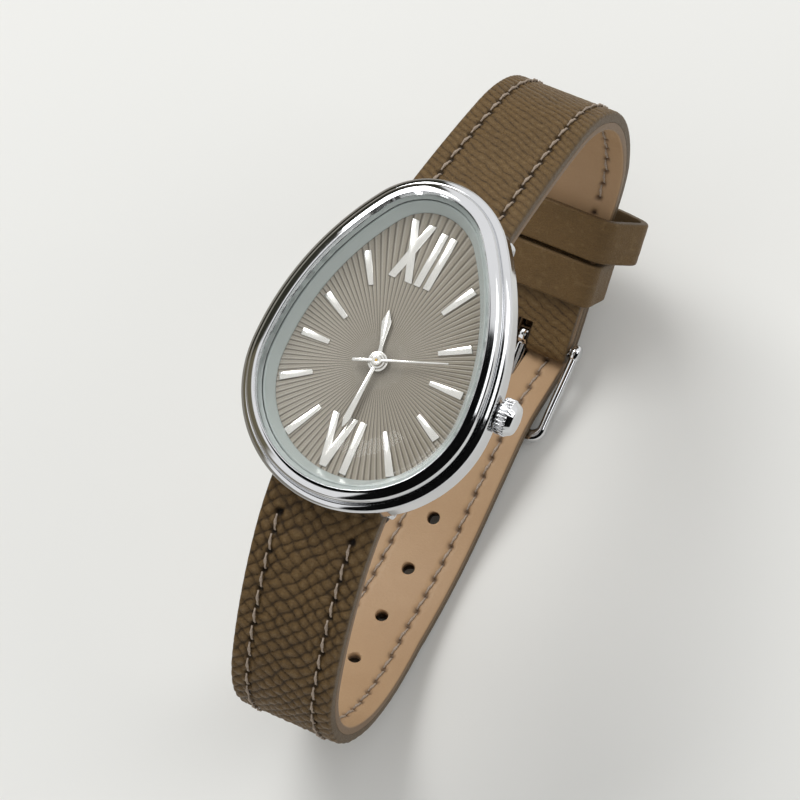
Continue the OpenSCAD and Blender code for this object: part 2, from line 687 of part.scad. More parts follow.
module fifth_wheel() {
    to_rotor = atan2(rotor_at.y - fifth_at.y, rotor_at.x - fifth_at.x);
    to_centre = atan2(-fifth_at.y, -fifth_at.x);
    color("gold") {
        arbor(fifth_at);
        translate([fifth_at.x, fifth_at.y, fifth_wheel_z]) wheel(36, rotor_mod, 0.12, to_rotor);
        translate([fifth_at.x, fifth_at.y, seconds_wheel_z - 0.03]) wheel(6, fifth_mod, 0.22, gap_to(6, to_centre));
    }
}

module seconds_wheel() {
    to_fifth = atan2(fifth_at.y, fifth_at.x);
    to_third = atan2(third_at.y, third_at.x);
    color("gold") {
        translate([0, 0, pivot_z]) cylinder(r = arbor_r, h = seconds_z + hand_t + 0.08 - pivot_z);
        translate([0, 0, seconds_wheel_z]) wheel(30, fifth_mod, wheel_t, to_fifth);
        translate([0, 0, third_wheel_z - 0.04]) wheel(6, train_mod, 0.24, gap_to(6, to_third));
    }
}

module third_wheel() {
    to_centre = atan2(-third_at.y, -third_at.x);
    color("gold") {
        arbor(third_at);
        translate([third_at.x, third_at.y, third_wheel_z]) wheel(45, train_mod, wheel_t, to_centre);
        translate([third_at.x, third_at.y, centre_wheel_z - 0.04]) wheel(6, centre_mod, 0.22, gap_to(6, to_centre));
    }
}

centre_tube_r = 0.3;
module centre_wheel() {
    color("gold") difference() {
        union() {
            translate([0, 0, centre_wheel_z]) wheel(48, centre_mod, wheel_t, atan2(third_at.y, third_at.x));
            translate([0, 0, centre_wheel_z - 0.02]) cylinder(r = centre_tube_r, h = -0.2 - centre_wheel_z);
        }
        translate([0, 0, -9]) cylinder(r = arbor_r + run_fit, h = 12);
    }
}

cannon_r = 0.45;
module cannon_pinion() {
    color("khaki") difference() {
        union() {
            translate([0, 0, minute_wheel_z - 0.02])
                wheel(8, cannon_mod, wheel_t + 0.05, gap_to(8, atan2(minute_at.y, minute_at.x)));
            translate([0, 0, minute_wheel_z - 0.02]) cylinder(r = cannon_r, h = minute_z + hand_t - minute_wheel_z);
        }
        translate([0, 0, -9]) cylinder(r = centre_tube_r + slim / 2, h = 12);
    }
}

module minute_wheel() {
    back = atan2(-minute_at.y, -minute_at.x);
    color("gold") translate([minute_at.x, minute_at.y, minute_wheel_z]) {
        wheel(24, cannon_mod, wheel_t, back, 0.2 + run_fit);
        translate([0, 0, wheel_t - 0.01]) wheel(6, hour_mod, 0.28, gap_to(6, back), 0.2 + run_fit);
    }
}

hour_pipe_r = 0.64;
module hour_wheel() {
    color("gold") difference() {
        union() {
            translate([0, 0, hour_wheel_z]) wheel(24, hour_mod, wheel_t, atan2(minute_at.y, minute_at.x));
            translate([0, 0, hour_wheel_z]) cylinder(r = hour_pipe_r, h = hour_z + hand_t - hour_wheel_z);
        }
        translate([0, 0, -9]) cylinder(r = cannon_r + run_fit, h = 12);
    }
}

module dial_washer() {
    color("gold") ring(1.4, hour_pipe_r + fit, -dial_t - 0.12, 0.08);
}

module circuit_board() {
    z = bridge_top - 0.1;
    color("seagreen") {
        translate([0, 0, z]) linear_extrude(0.12) polygon([[3.2, 1.2], [7.2, 1.2], [7.2, 4], [5.4, 6.4],
            [3.4, 6.4], [3.2, 4]]);
        translate([3.9, 2.3, z + 0.12]) cube([2, 1.4, plate_under - z - 0.12]);
    }
}

module quartz_can() {
    color("silver") translate([4.6, 4.2, bridge_top + 0.02 + 0.55]) rotate([-90, 0, 0]) {
        cylinder(r = 0.5, h = 2);
    }
}

module movement_screws() {
    color("steelblue") for (p = screws_at) translate([p.x, p.y, bridge_top - bridge_t - 0.18]) {
        difference() {
            cylinder(r = 0.5, h = 0.16);
            translate([-1, -0.07, -1]) cube([2, 0.14, 1.07]);
        }
        translate([0, 0, 0.1]) cylinder(r = 0.25, h = plate_under - bridge_top + bridge_t + 0.05);
    }
}

module setting_plate() {
    z = stem_z - stem_r - 0.3;
    color("lightgray") {
        translate([5.1, -2.1, z]) cube([2.2, 4.2, 0.15]);
        for (s = [-1, 1]) translate([6.2, s * 1.5, z]) cylinder(r = 0.3, h = plate_under - z);
    }
}

module clutch_wheel() {
    color("khaki") translate([3.3, 0, stem_z]) rotate([0, 90, 0]) difference() {
        linear_extrude(0.9) difference() {
            circle(r = 0.72);
            square(0.7, center = true);
        }
        for (a = [0:30:150]) rotate(a) translate([-1, -0.07, -0.1]) cube([2, 0.14, 0.25]);
    }
}

module winding_stem() {
    color("gray") {
        bar_x([0, stem_z], stem_r, 5.3, crown_x + 1.5);
        translate([2.8, -0.3, stem_z - 0.3]) cube([2.6, 0.6, 0.6]);
    }
}

crown_x = case_r + fit;
tube_end = crown_x + grip_len - 0.1;
module crown() {
    n = ridges;
    color("silver") translate([crown_x, 0, stem_z]) rotate([0, 90, 0]) difference() {
        union() {
            linear_extrude(grip_len) polygon([for (i = [0:n - 1])
                for (q = [[crown_r - ridge_h, -0.5], [crown_r - ridge_h, -0.25], [crown_r, -0.15], [crown_r, 0.15],
                [crown_r - ridge_h, 0.25]]) q[0] * [cos((i + q[1]) * 360 / n), sin((i + q[1]) * 360 / n)]]);
            translate([0, 0, grip_len]) cylinder(r1 = crown_r - ridge_h / 2, r2 = crown_r * 0.78, h = cap_len);
            translate([0, 0, grip_len + cap_len]) cylinder(r1 = crown_r * 0.78, r2 = crown_r * 0.6, h = 0.1);
        }
        translate([0, 0, -1]) cylinder(r = tube_r + 0.32, h = 1 + grip_len);
        translate([0, 0, -1]) cylinder(r = stem_r + slim / 2, h = 2.51);
    }
}

module crown_seal() {
    color("black") translate([crown_x + 0.2, 0, stem_z]) rotate([0, 90, 0])
        rotate_extrude() translate([tube_r + 0.165, 0]) circle(r = 0.15);
}

module crown_tube() {
    color("lightgray") translate([well_r + 0.05, 0, stem_z]) rotate([0, 90, 0]) difference() {
        cylinder(r = tube_r, h = tube_end - well_r - 0.05);
        translate([0, 0, -1]) cylinder(r = stem_r + run_fit, h = 9);
    }
}

module lug_spring_bars() {
    half = strap_w / 2 + 0.04;
    color("lightgray") for (p = [bar_six, bar_twelve]) {
        bar_x(p, bar_r, -half, half);
        bar_x(p, 0.36, -half - lug_w * 0.8, half + lug_w * 0.8);
    }
}

// Path length from a point of the long half to its used hole
function along(path, i = 0) = i + 2 > len(path) ? 0 :
    norm([path[i + 1][0] - path[i][0], path[i + 1][1] - path[i][1]]) + along(path, i + 1);
long_len = along(long_path);
used_hole = long_len - tail_len - over_r * (dip + strap_slope) * PI / 180 - hole_mid;
// The point and heading at a distance s along a path
function at_len(path, s, i = 0) = let (d = norm([path[i + 1][0] - path[i][0], path[i + 1][1] - path[i][1]]))
    s <= d || i + 2 >= len(path) ? [path[i][0] + s * (path[i + 1][0] - path[i][0]) / d,
        path[i][1] + s * (path[i + 1][1] - path[i][1]) / d,
        atan2(path[i + 1][1] - path[i][1], path[i + 1][0] - path[i][0])] : at_len(path, s - d, i + 1);

// A punched hole square to the long half at distance s, stretched by l along the strap
module punch(s, l, w) {
    q = at_len(long_path, s);
    translate([0, q[0], q[1]]) rotate([q[2], 0, 0]) translate([0, 0, -1]) {
        if (l > 0) {
            translate([-w / 2, -l / 2, 0]) cube([w, l, strap_t + 2]);
        } else {
            cylinder(r = w / 2, h = strap_t + 2);
        }
    }
}

module long_holes() {
    punch(used_hole, hole_far - hole_near, tongue_w + 0.3);
    for (i = [1:free_holes]) punch(used_hole - i * hole_pitch, 0, 2 * hole_r);
}

// The pointed end of the tail, as an outline along the strap
module tail_cut() {
    end = long_path[len(long_path) - 1];
    w = long_end_w / 2 + 1;
    translate([0, end[0], end[1]]) rotate([end[2], 0, 0]) for (s = [-1, 1])
        translate([0, 0, -1]) linear_extrude(strap_t + 2)
            polygon([[s * 0.8, 0], [s * w, -4.6], [s * w, 1], [s * 0.8, 1]]);
}

module strap_long_leather() {
    color([0.44, 0.35, 0.25]) difference() {
        union() {
            intersection() {
                across(strap_w) strip(long_path, 0, leather_t);
                long_taper();
            }
            bar_x(bar_six, bar_loop_r - fit, -strap_w / 2, strap_w / 2);
        }
        bar_x(bar_six, bar_r + 0.03, -strap_w, strap_w);
        long_holes();
        tail_cut();
    }
}

module strap_long_lining() {
    color([0.7, 0.56, 0.42]) difference() {
        intersection() {
            across(strap_w) strip(long_path, leather_t, strap_t);
            long_taper();
        }
        long_holes();
        tail_cut();
        bar_x(bar_six, bar_loop_r, -strap_w, strap_w);
    }
}

// The slot for the tongue in the folded end of the short half
module tongue_slot() {
    w = tongue_w + 0.4;
    at_buckle() translate([-w / 2, -3, -3]) cube([w, 5, 6]);
}

module strap_short_leather() {
    color([0.44, 0.35, 0.25]) difference() {
        union() {
            intersection() {
                across(strap_w) strip(short_path, 0, -leather_t);
                short_taper();
            }
            bar_x(bar_twelve, bar_loop_r - fit, -strap_w / 2, strap_w / 2);
            bar_x(buckle_bar, fold_r, -short_end_w / 2, short_end_w / 2);
        }
        bar_x(bar_twelve, bar_r + 0.03, -strap_w, strap_w);
        bar_x(buckle_bar, pin_bar_r + 0.03, -strap_w, strap_w);
        tongue_slot();
    }
}

module strap_short_lining() {
    color([0.7, 0.56, 0.42]) difference() {
        intersection() {
            across(strap_w) strip(short_path, -leather_t, -strap_t);
            short_taper();
        }
        bar_x(bar_twelve, bar_loop_r, -strap_w, strap_w);
        bar_x(buckle_bar, fold_r, -strap_w, strap_w);
        tongue_slot();
    }
}

module strap_fold() {
    color([0.4, 0.31, 0.2]) difference() {
        at_buckle() translate([-short_end_w / 2, 0, fold_r - flap_t]) cube([short_end_w, flap_len, flap_t]);
        bar_x(buckle_bar, fold_r, -strap_w, strap_w);
        tongue_slot();
    }
}

// Inside and outside faces of the two layers at the keepers, square to the strap from the bar
face_in = fold_r;
face_out = -over_r;
module fixed_keeper() {
    a = short_end_w / 2 + 0.1;
    color([0.4, 0.31, 0.2]) at_buckle() translate([0, keeper_start + keeper_w, 0]) rotate([90, 0, 0])
        linear_extrude(keeper_w) difference() {
            polygon([[-a - keeper_t, face_in + 0.1], [-a, face_in + 0.1 + keeper_t], [a, face_in + 0.1 + keeper_t],
                [a + keeper_t, face_in + 0.1], [a + keeper_t, face_out - 0.1], [a, face_out - 0.1 - keeper_t],
                [-a, face_out - 0.1 - keeper_t], [-a - keeper_t, face_out - 0.1]]);
            translate([-a, face_out - 0.1]) square([2 * a, face_in - face_out + 0.2]);
        }
}

// The free keeper leans out past the right edge of the strap, where it is empty
module keeper_outline(g) {
    a = short_end_w / 2 + 0.35;
    hi = face_in - 0.25;
    lo = face_out - 0.3;
    polygon([[-a - g, hi], [-a, hi + g], [a, hi + g], [a + 0.7 * g, hi + 0.3 * g],
        [a + keeper_hang + g, lo + 1.1], [a + keeper_hang, lo + 0.7 - 0.7 * g], [a - 0.2, lo - g],
        [0, lo - 0.7 - g], [-a + 0.8, lo - 0.3 - g], [-a - g, lo + 0.6]]);
}

module free_keeper() {
    color([0.4, 0.31, 0.2]) at_buckle() translate([0, keeper_start + 2 * keeper_w + keeper_gap, 0])
        rotate([90, 0, 0]) linear_extrude(keeper_w) difference() {
            keeper_outline(keeper_t);
            keeper_outline(0);
        }
}

arm_in = short_end_w / 2 + 0.25;
module buckle_spring_bar() {
    color("lightgray") {
        bar_x(buckle_bar, pin_bar_r, -arm_in + 0.08, arm_in - 0.08);
        bar_x(buckle_bar, 0.32, -arm_in - arm_w * 0.85, arm_in + arm_w * 0.85);
    }
}

// One arm's outline in the plane across the case
module arm_outline() {
    translate(buckle_bar) circle(r = 1);
    translate(cross_bar) circle(r = cross_r);
    d = cross_bar - buckle_bar;
    u = d / norm(d);
    v = [-u.y, u.x];
    polygon([buckle_bar + 0.65 * v, cross_bar + cross_r * v, cross_bar - cross_r * v, buckle_bar - 0.65 * v]);
}

module buckle_frame() {
    color("gainsboro") difference() {
        union() {
            for (s = [-1, 1]) translate([s * (arm_in + arm_w / 2), 0, 0]) across(arm_w) arm_outline();
            bar_x(cross_bar, cross_r, -arm_in - 0.1, arm_in + 0.1);
        }
        translate([-tongue_w / 2 - 0.15, cross_bar.x - 2, cross_bar.y - cross_r - 1])
            cube([tongue_w + 0.3, 4, 1 + notch]);
        bar_x(buckle_bar, 0.32 + run_fit, -arm_in - arm_w * 0.9, arm_in + arm_w * 0.9);
    }
}

// A strip along a bent line, with half a thickness at each point
module bent(p, h) {
    n = len(p);
    u = [for (i = [0:n - 2]) (p[i + 1] - p[i]) / norm(p[i + 1] - p[i])];
    m = [for (i = [0:n - 1]) let (a = u[max(i - 1, 0)], b = u[min(i, n - 2)], c = a + b)
        [-c.y, c.x] / (1 + a * b)];
    polygon(concat([for (i = [0:n - 1]) p[i] + h[i] * m[i]], [for (i = [n - 1:-1:0]) p[i] - h[i] * m[i]]));
}

// The tongue leaves the bar, passes the hole and lies in a notch of the cross bar
tongue_out = [sin(-dip), -cos(dip)];
tongue_down = [-cos(dip), sin(dip)];
tongue_way = cos(tongue_lean) * tongue_out + sin(tongue_lean) * tongue_down;
tongue_knee = buckle_bar + (over_r + tongue_t / 2 + 0.06) / cos(tongue_lean) * tongue_way;
tip_t = 0.6 * tongue_t;
notch = 0.3;
tongue_rest = cross_bar - (cross_r - notch + tip_t / 2 + 0.06) * [0, 1];
module buckle_tongue() {
    color("gainsboro") difference() {
        union() {
            bar_x(buckle_bar, pin_bar_r + 0.45, -tongue_w / 2, tongue_w / 2);
            across(tongue_w) bent([buckle_bar, tongue_knee, tongue_rest + [0.4, 0], tongue_rest - [1.1, -0.12]],
                [tongue_t / 2, tongue_t / 2, tip_t / 2, tip_t / 3]);
        }
        bar_x(buckle_bar, pin_bar_r + run_fit, -9, 9);
    }
}

stand() case_middle();
stand() bezel();
stand() crystal();
stand() crystal_seal();
stand() dial_ring();
stand() dial();
stand() hour_markers();
stand() numeral_twelve();
stand() numeral_six();
stand() hour_hand();
stand() minute_hand();
stand() seconds_hand();
stand() case_back();
stand() case_back_seal();
stand() movement_holder();
stand() main_plate();
stand() train_bridge();
stand() battery();
stand() battery_clamp();
stand() coil();
stand() stator();
stand() rotor();
stand() fifth_wheel();
stand() seconds_wheel();
stand() third_wheel();
stand() centre_wheel();
stand() cannon_pinion();
stand() minute_wheel();
stand() hour_wheel();
stand() dial_washer();
stand() circuit_board();
stand() quartz_can();
stand() movement_screws();
stand() setting_plate();
stand() clutch_wheel();
stand() winding_stem();
stand() crown();
stand() crown_seal();
stand() crown_tube();
stand() lug_spring_bars();
stand() strap_long_leather();
stand() strap_long_lining();
stand() strap_short_leather();
stand() strap_short_lining();
stand() strap_fold();
stand() fixed_keeper();
stand() free_keeper();
stand() buckle_spring_bar();
stand() buckle_frame();
stand() buckle_tongue();
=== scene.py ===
# %% [markdown]
# # A quartz wrist watch with an egg-shaped case
# The measured model of this watch is loaded first, as a fixed frame. Every piece that follows is
# worked out in millimetres in the dial's own frame: X runs from 9 to 3 o'clock, Y from 6 to 12
# o'clock and Z stands out of the dial. One small turn and a shift then bring it to the table,
# where the closed strap stands on its back.

# %% Load the frame
import bmesh
import bpy
import json
import math
import numpy as np
from mathutils import Matrix, Vector


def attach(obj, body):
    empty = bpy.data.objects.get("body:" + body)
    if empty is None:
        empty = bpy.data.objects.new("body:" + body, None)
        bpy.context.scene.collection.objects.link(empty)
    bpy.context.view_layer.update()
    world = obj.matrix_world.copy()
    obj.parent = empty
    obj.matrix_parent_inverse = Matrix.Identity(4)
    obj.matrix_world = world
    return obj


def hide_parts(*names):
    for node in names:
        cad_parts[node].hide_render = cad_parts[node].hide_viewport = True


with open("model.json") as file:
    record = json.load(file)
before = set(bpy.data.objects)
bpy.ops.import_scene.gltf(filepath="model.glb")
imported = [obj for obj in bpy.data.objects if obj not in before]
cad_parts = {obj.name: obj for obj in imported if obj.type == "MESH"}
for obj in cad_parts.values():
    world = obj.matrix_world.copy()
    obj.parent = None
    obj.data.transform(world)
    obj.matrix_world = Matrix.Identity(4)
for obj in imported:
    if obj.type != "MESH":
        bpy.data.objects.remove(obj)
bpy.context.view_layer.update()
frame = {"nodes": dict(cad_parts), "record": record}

# %% [markdown]
# ## From the dial's frame to the table
# The watch leans 12.18 degrees towards 6 o'clock when it stands on its strap. A turn about X and a
# shift do that, and a division by 1000 changes millimetres to metres.

# %% The stand
LEAN = math.radians(12.1753)
SHIFT = np.array([-0.9, -5.60313, 43.2019])
TILT = np.array([[1, 0, 0],
                 [0, math.cos(LEAN), -math.sin(LEAN)],
                 [0, math.sin(LEAN), math.cos(LEAN)]])


def stand(points):
    """Table place in metres: the point turned by the lean, plus the shift, over 1000."""
    return (np.asarray(points, float) @ TILT.T + SHIFT) / 1000


print("hands stand at", stand([0, 0, 0]).round(4))

# %% [markdown]
# ## The camera
# The photograph was taken from above, a little from the right and from below. The direction and
# the long lens were found from the outline of the case and of the strap.

# %% Camera
VIEW = np.array([[0.885, 0.4077, -0.2248], [-0.3655, 0.9075, 0.2069], [0.288, -0.101, 0.952]])
right, up, back = (TILT @ VIEW.T).T
eye = stand(2.001 * VIEW[0] - 3.565 * VIEW[1] + 352.3 * VIEW[2])
camera = bpy.data.objects.new("camera", bpy.data.cameras.new("camera"))
bpy.context.scene.collection.objects.link(camera)
camera.data.sensor_width = 36
camera.data.lens = 3699 / 800 * 36
camera.data.clip_start = 0.01
back = back / np.linalg.norm(back)
right = np.cross(up, back)
right = right / np.linalg.norm(right)
up = np.cross(back, right)
turn = Matrix([list(row) for row in np.stack([right, up, back], axis=1)])
camera.matrix_world = Matrix.Translation(Vector(eye)) @ turn.to_4x4()
bpy.context.scene.camera = camera
bpy.context.scene.view_settings.view_transform = "Standard"
print("camera at", eye.round(4))

# %% [markdown]
# ## Meshes from grids
# Almost every piece here is a grid of points: one direction runs along the piece and the other
# round it. One helper turns such a grid into a closed mesh, and another rounds a rough profile.
# The others give the angles of a full turn, circles about an axis, and the left side of a line.

# %% Grid helpers


def join_mesh(name, points, faces, uv=None, marks=None):
    """A mesh piece from points in the dial's frame; faces are lists of point numbers."""
    mesh = bpy.data.meshes.new(name)
    mesh.from_pydata(stand(points).tolist(), [], faces)
    mesh.polygons.foreach_set("use_smooth", np.ones(len(mesh.polygons), bool))
    if uv is not None:
        layer = mesh.uv_layers.new(name="along")
        corners = np.empty(len(mesh.loops), np.int32)
        mesh.loops.foreach_get("vertex_index", corners)
        layer.data.foreach_set("uv", np.asarray(uv, np.float32)[corners].ravel())
    for key, values in (marks or {}).items():
        layer = mesh.attributes.new(key, "FLOAT", "POINT")
        layer.data.foreach_set("value", np.asarray(values, np.float32).ravel())
    work = bmesh.new()
    work.from_mesh(mesh)
    bmesh.ops.recalc_face_normals(work, faces=work.faces)
    work.to_mesh(mesh)
    work.free()
    piece = bpy.data.objects.new(name, mesh)
    bpy.context.scene.collection.objects.link(piece)
    return piece


def grid_faces(rows, cols, round_rows, round_cols, caps, first=0):
    """Quads between neighbours of a rows x cols grid, with flat caps on open ends."""
    index = np.arange(rows * cols).reshape(rows, cols) + first
    if round_cols:
        index = np.hstack([index, index[:, :1]])
    if round_rows:
        index = np.vstack([index, index[:1]])
    quads = np.stack([index[:-1, :-1], index[1:, :-1], index[1:, 1:], index[:-1, 1:]], axis=-1)
    faces = quads.reshape(-1, 4).tolist()
    if caps and not round_rows:
        faces += [index[0, :cols].tolist(), index[-1, :cols][::-1].tolist()]
    return faces


def skin(name, grid, round_rows=False, round_cols=True, caps=True, uv=None, marks=None):
    """A piece whose surface is the grid of points grid[i, j], closed the ways that are asked."""
    rows, cols = grid.shape[:2]
    faces = grid_faces(rows, cols, round_rows, round_cols, caps)
    uv = None if uv is None else uv.reshape(-1, 2)
    marks = {key: value.reshape(-1) for key, value in (marks or {}).items()}
    return join_mesh(name, grid.reshape(-1, 3), faces, uv, marks)


def joined(name, solids, rings=()):
    """One piece of several closed grids; the rings are closed from last row to first as well."""
    grids, faces, first = [*solids, *rings], [], 0
    for k, grid in enumerate(grids):
        rows, cols = grid.shape[:2]
        faces += grid_faces(rows, cols, k >= len(solids), True, True, first)
        first += rows * cols
    return join_mesh(name, np.concatenate([g.reshape(-1, 3) for g in grids]), faces)


def full_turn(sides):
    return np.linspace(0, 2 * np.pi, sides, endpoint=False)


def circles(x, r, centre, sides=40):
    """Circles of radius r round an axis along X, one for each place x; centre is [y, z]."""
    a = full_turn(sides)
    return np.stack([np.broadcast_to(x[:, None], (len(x), sides)),
                     centre[0] + r[:, None] * np.cos(a), centre[1] + r[:, None] * np.sin(a)], axis=-1)


def lathe(profile, sides=64):
    """Section points (radius, z) carried round the axis of the hands."""
    r, z = np.asarray(profile, float).T
    a = full_turn(sides)
    return np.stack([r[:, None] * np.cos(a), r[:, None] * np.sin(a),
                     np.broadcast_to(z[:, None], (len(r), sides))], axis=-1)


def left_of(ahead):
    """Unit vectors a quarter turn to the left of the given ones."""
    ahead = ahead / np.hypot(*ahead.T)[:, None]
    return np.stack([-ahead[:, 1], ahead[:, 0]], axis=1)


def signed_area(p):
    """Twice the area of a closed outline, positive where it runs anticlockwise."""
    return np.sum(p[:, 0] * np.roll(p[:, 1], -1) - p[:, 1] * np.roll(p[:, 0], -1))


def curve_through(points, steps=6):
    """Catmull-Rom: between two points the curve leans on their neighbours, as a cubic of t."""
    p = np.asarray(points, float)
    p = np.vstack([2 * p[0] - p[1], p, 2 * p[-1] - p[-2]])
    t = np.linspace(0, 1, steps, endpoint=False)[:, None, None]
    a, b, c, d = p[:-3], p[1:-2], p[2:-1], p[3:]
    q = 0.5 * (2 * b + (c - a) * t + (2 * a - 5 * b + 4 * c - d) * t ** 2
               + (3 * b - a - 3 * c + d) * t ** 3)
    return np.vstack([q.transpose(1, 0, 2).reshape(-1, p.shape[1]), p[-2:-1]])


def rough_noise(u, v, scale, seed):
    """Value noise: random heights on a square net of side scale, blended smoothly between."""
    net = np.random.default_rng(seed).random((64, 64))
    gu, gv = np.asarray(u) / scale, np.asarray(v) / scale
    iu, iv = np.floor(gu).astype(int), np.floor(gv).astype(int)
    fu, fv = gu - iu, gv - iv
    fu, fv = fu * fu * (3 - 2 * fu), fv * fv * (3 - 2 * fv)
    a, b = net[iu % 64, iv % 64], net[(iu + 1) % 64, iv % 64]
    c, d = net[iu % 64, (iv + 1) % 64], net[(iu + 1) % 64, (iv + 1) % 64]
    return (a * (1 - fu) + b * fu) * (1 - fv) + (c * (1 - fu) + d * fu) * fv


def settle(piece, body, slot, material, *nodes):
    """The piece gets its finish, moves with a body and stands for the nodes that it replaces."""
    piece.data.materials.clear()
    piece.data.materials.append(material)
    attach(piece, body)
    if nodes:
        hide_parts(*nodes)
    return piece


print("a curve through 3 points has", len(curve_through([[0, 0], [1, 1], [2, 0]])), "points")

# %% [markdown]
# ## Finishes
# A colour is written as it looks on the screen, from 0 to 255, and changed to the linear values
# that Blender works with. Each finish is a small net of nodes: what is the same all over is set on
# the shader itself, and what changes over the surface comes from noise in millimetres.

# %% Finish helpers


def shade(red, green, blue):
    """Screen colour to linear light: (c + 0.055) / 1.055 to the power 2.4."""
    c = np.array([red, green, blue]) / 255
    linear = np.where(c <= 0.04045, c / 12.92, ((c + 0.055) / 1.055) ** 2.4)
    return (*map(float, linear), 1.0)


def put(value, entry):
    """A socket is linked to the entry; anything else becomes its fixed value."""
    if isinstance(value, bpy.types.NodeSocket):
        entry.id_data.links.new(value, entry)
    else:
        entry.default_value = value


class Finish:
    """A material under construction, with short names for the nodes that are used a lot."""

    def __init__(self, name, **values):
        self.material = bpy.data.materials.new(name)
        self.material.use_nodes = True
        self.tree = self.material.node_tree
        self.shader = self.tree.nodes["Principled BSDF"]
        self.output = self.tree.nodes["Material Output"]
        for key, value in values.items():
            self.shader.inputs[key.replace("_", " ")].default_value = value

    def node(self, kind, out, links=(), **settings):
        """One node; links are (input, socket) pairs and settings are its properties or inputs."""
        made = self.tree.nodes.new(kind)
        for key, value in settings.items():
            if key in made.bl_rna.properties.keys():
                setattr(made, key, value)
            else:
                made.inputs[key.replace("_", " ")].default_value = value
        for key, socket in links:
            self.tree.links.new(socket, made.inputs[key])
        return made.outputs[out]

    def place(self, size=(1000, 1000, 1000)):
        """Object coordinates in millimetres, stretched by size / 1000."""
        coords = self.node("ShaderNodeTexCoord", "Object")
        return self.node("ShaderNodeMapping", "Vector", [("Vector", coords)], Scale=size)

    def noise(self, where, scale, detail=3, roughness=0.5):
        return self.node("ShaderNodeTexNoise", "Fac", [("Vector", where)], Scale=scale,
                         Detail=detail, Roughness=roughness)

    def ramp(self, factor, *stops):
        """Colours between stops (place, colour); a number stands for a grey."""
        made = self.tree.nodes.new("ShaderNodeValToRGB")
        bar = made.color_ramp
        while len(bar.elements) < len(stops):
            bar.elements.new(0.5)
        for element, (where, colour) in zip(bar.elements, stops):
            element.position = where
            element.color = colour if isinstance(colour, tuple) else (colour, colour, colour, 1)
        self.tree.links.new(factor, made.inputs["Fac"])
        return made.outputs["Color"]

    def mix(self, factor, one, two, way="MIX"):
        """Colour one blended towards two; either may be a colour or a socket."""
        made = self.tree.nodes.new("ShaderNodeMix")
        made.data_type, made.blend_type = "RGBA", way
        for key, value in ((0, factor), (6, one), (7, two)):
            put(value, made.inputs[key])
        return made.outputs[2]

    def sum(self, one, two, way="ADD"):
        made = self.tree.nodes.new("ShaderNodeMath")
        made.operation = way
        put(one, made.inputs[0])
        put(two, made.inputs[1])
        return made.outputs[0]

    def mark(self, key):
        return self.node("ShaderNodeAttribute", "Fac", attribute_name=key)

    def feed(self, key, socket):
        self.tree.links.new(socket, self.shader.inputs[key])

    def bump(self, height, depth_mm, strength=1.0):
        self.feed("Normal", self.node("ShaderNodeBump", "Normal", [("Height", height)],
                                      Distance=depth_mm / 1000, Strength=strength))


print("mid grey is", round(shade(128, 128, 128)[0], 3))

# %% [markdown]
# ## Metals
# Polished steel is almost a mirror, so its look comes from what it reflects. Fine wiping marks
# change its roughness a little. Turned and brushed steel has stretched marks instead.

# %% Metals


def metal(name, colour, rough, worn=0.05, grain=(1000, 1000, 1000), scale=0.8, depth=0.0):
    """Metal whose roughness runs from rough to rough + worn with noise."""
    made = Finish(name, Base_Color=colour, Metallic=1.0, Roughness=rough)
    where = made.place(grain)
    marks = made.noise(where, scale, 5, 0.65)
    made.feed("Roughness", made.ramp(marks, (0.3, rough), (0.75, rough + worn)))
    tint = tuple(0.9 * c for c in colour[:3]) + (1.0,)
    made.feed("Base Color", made.mix(made.noise(where, scale * 0.3, 2), tint, colour))
    if depth:
        made.bump(marks, depth)
    return made.material


polished = metal("polished_steel", shade(226, 227, 229), 0.05, 0.04)
trim = metal("mirror_trim", shade(240, 237, 234), 0.16, 0.08, scale=3)
brushed = metal("brushed_back", shade(200, 201, 203), 0.28, 0.18, (300, 9000, 1000), 1.2, 0.004)
cell_metal = metal("cell_can", shade(205, 206, 208), 0.16, 0.14, depth=0.003)
brass = metal("brass_works", shade(205, 168, 92), 0.22, 0.16, (1000, 1000, 200), 3, 0.003)
print("metals made")

# %% [markdown]
# ## Glass, seals and plastics
# The glass bends the view only a little. Light that falls on the dial, and light that spreads from
# it, passes as if nothing were there. The sloped ring under the glass is pale grey-green.

# %% Glass and plain finishes
pane = Finish("clear_glass", Base_Color=(0.985, 0.992, 0.99, 1), Roughness=0.0, IOR=1.2,
              Specular_IOR_Level=0.9, Transmission_Weight=1.0)
smudge = pane.noise(pane.place(), 0.15, 3)
pane.feed("Base Color", pane.mix(smudge, (0.985, 0.992, 0.99, 1), (0.97, 0.98, 0.977, 1)))
paths = pane.tree.nodes.new("ShaderNodeLightPath")
shadow = pane.sum(paths.outputs["Is Shadow Ray"], paths.outputs["Is Diffuse Ray"], "MAXIMUM")
clear = pane.node("ShaderNodeBsdfTransparent", "BSDF", Color=(0.97, 0.975, 0.97, 1))
both = pane.tree.nodes.new("ShaderNodeMixShader")
for key, socket in enumerate((shadow, pane.shader.outputs[0], clear)):
    put(socket, both.inputs[key])
put(both.outputs[0], pane.output.inputs["Surface"])
glass = pane.material


def plain(name, colour, rough, spots=0.12, scale=2.0, depth=0.01, **values):
    """Plastic, rubber or paint: noise darkens the colour by spots and dents it by depth."""
    made = Finish(name, Base_Color=colour, Roughness=rough, **values)
    cloud = made.noise(made.place(), scale, 4)
    dark = tuple((1 - spots) * c for c in colour[:3]) + (1.0,)
    made.feed("Base Color", made.mix(cloud, dark, colour))
    made.feed("Roughness", made.ramp(cloud, (0.2, max(rough - 0.06, 0)), (0.8, rough + 0.06)))
    made.bump(cloud, depth)
    return made.material


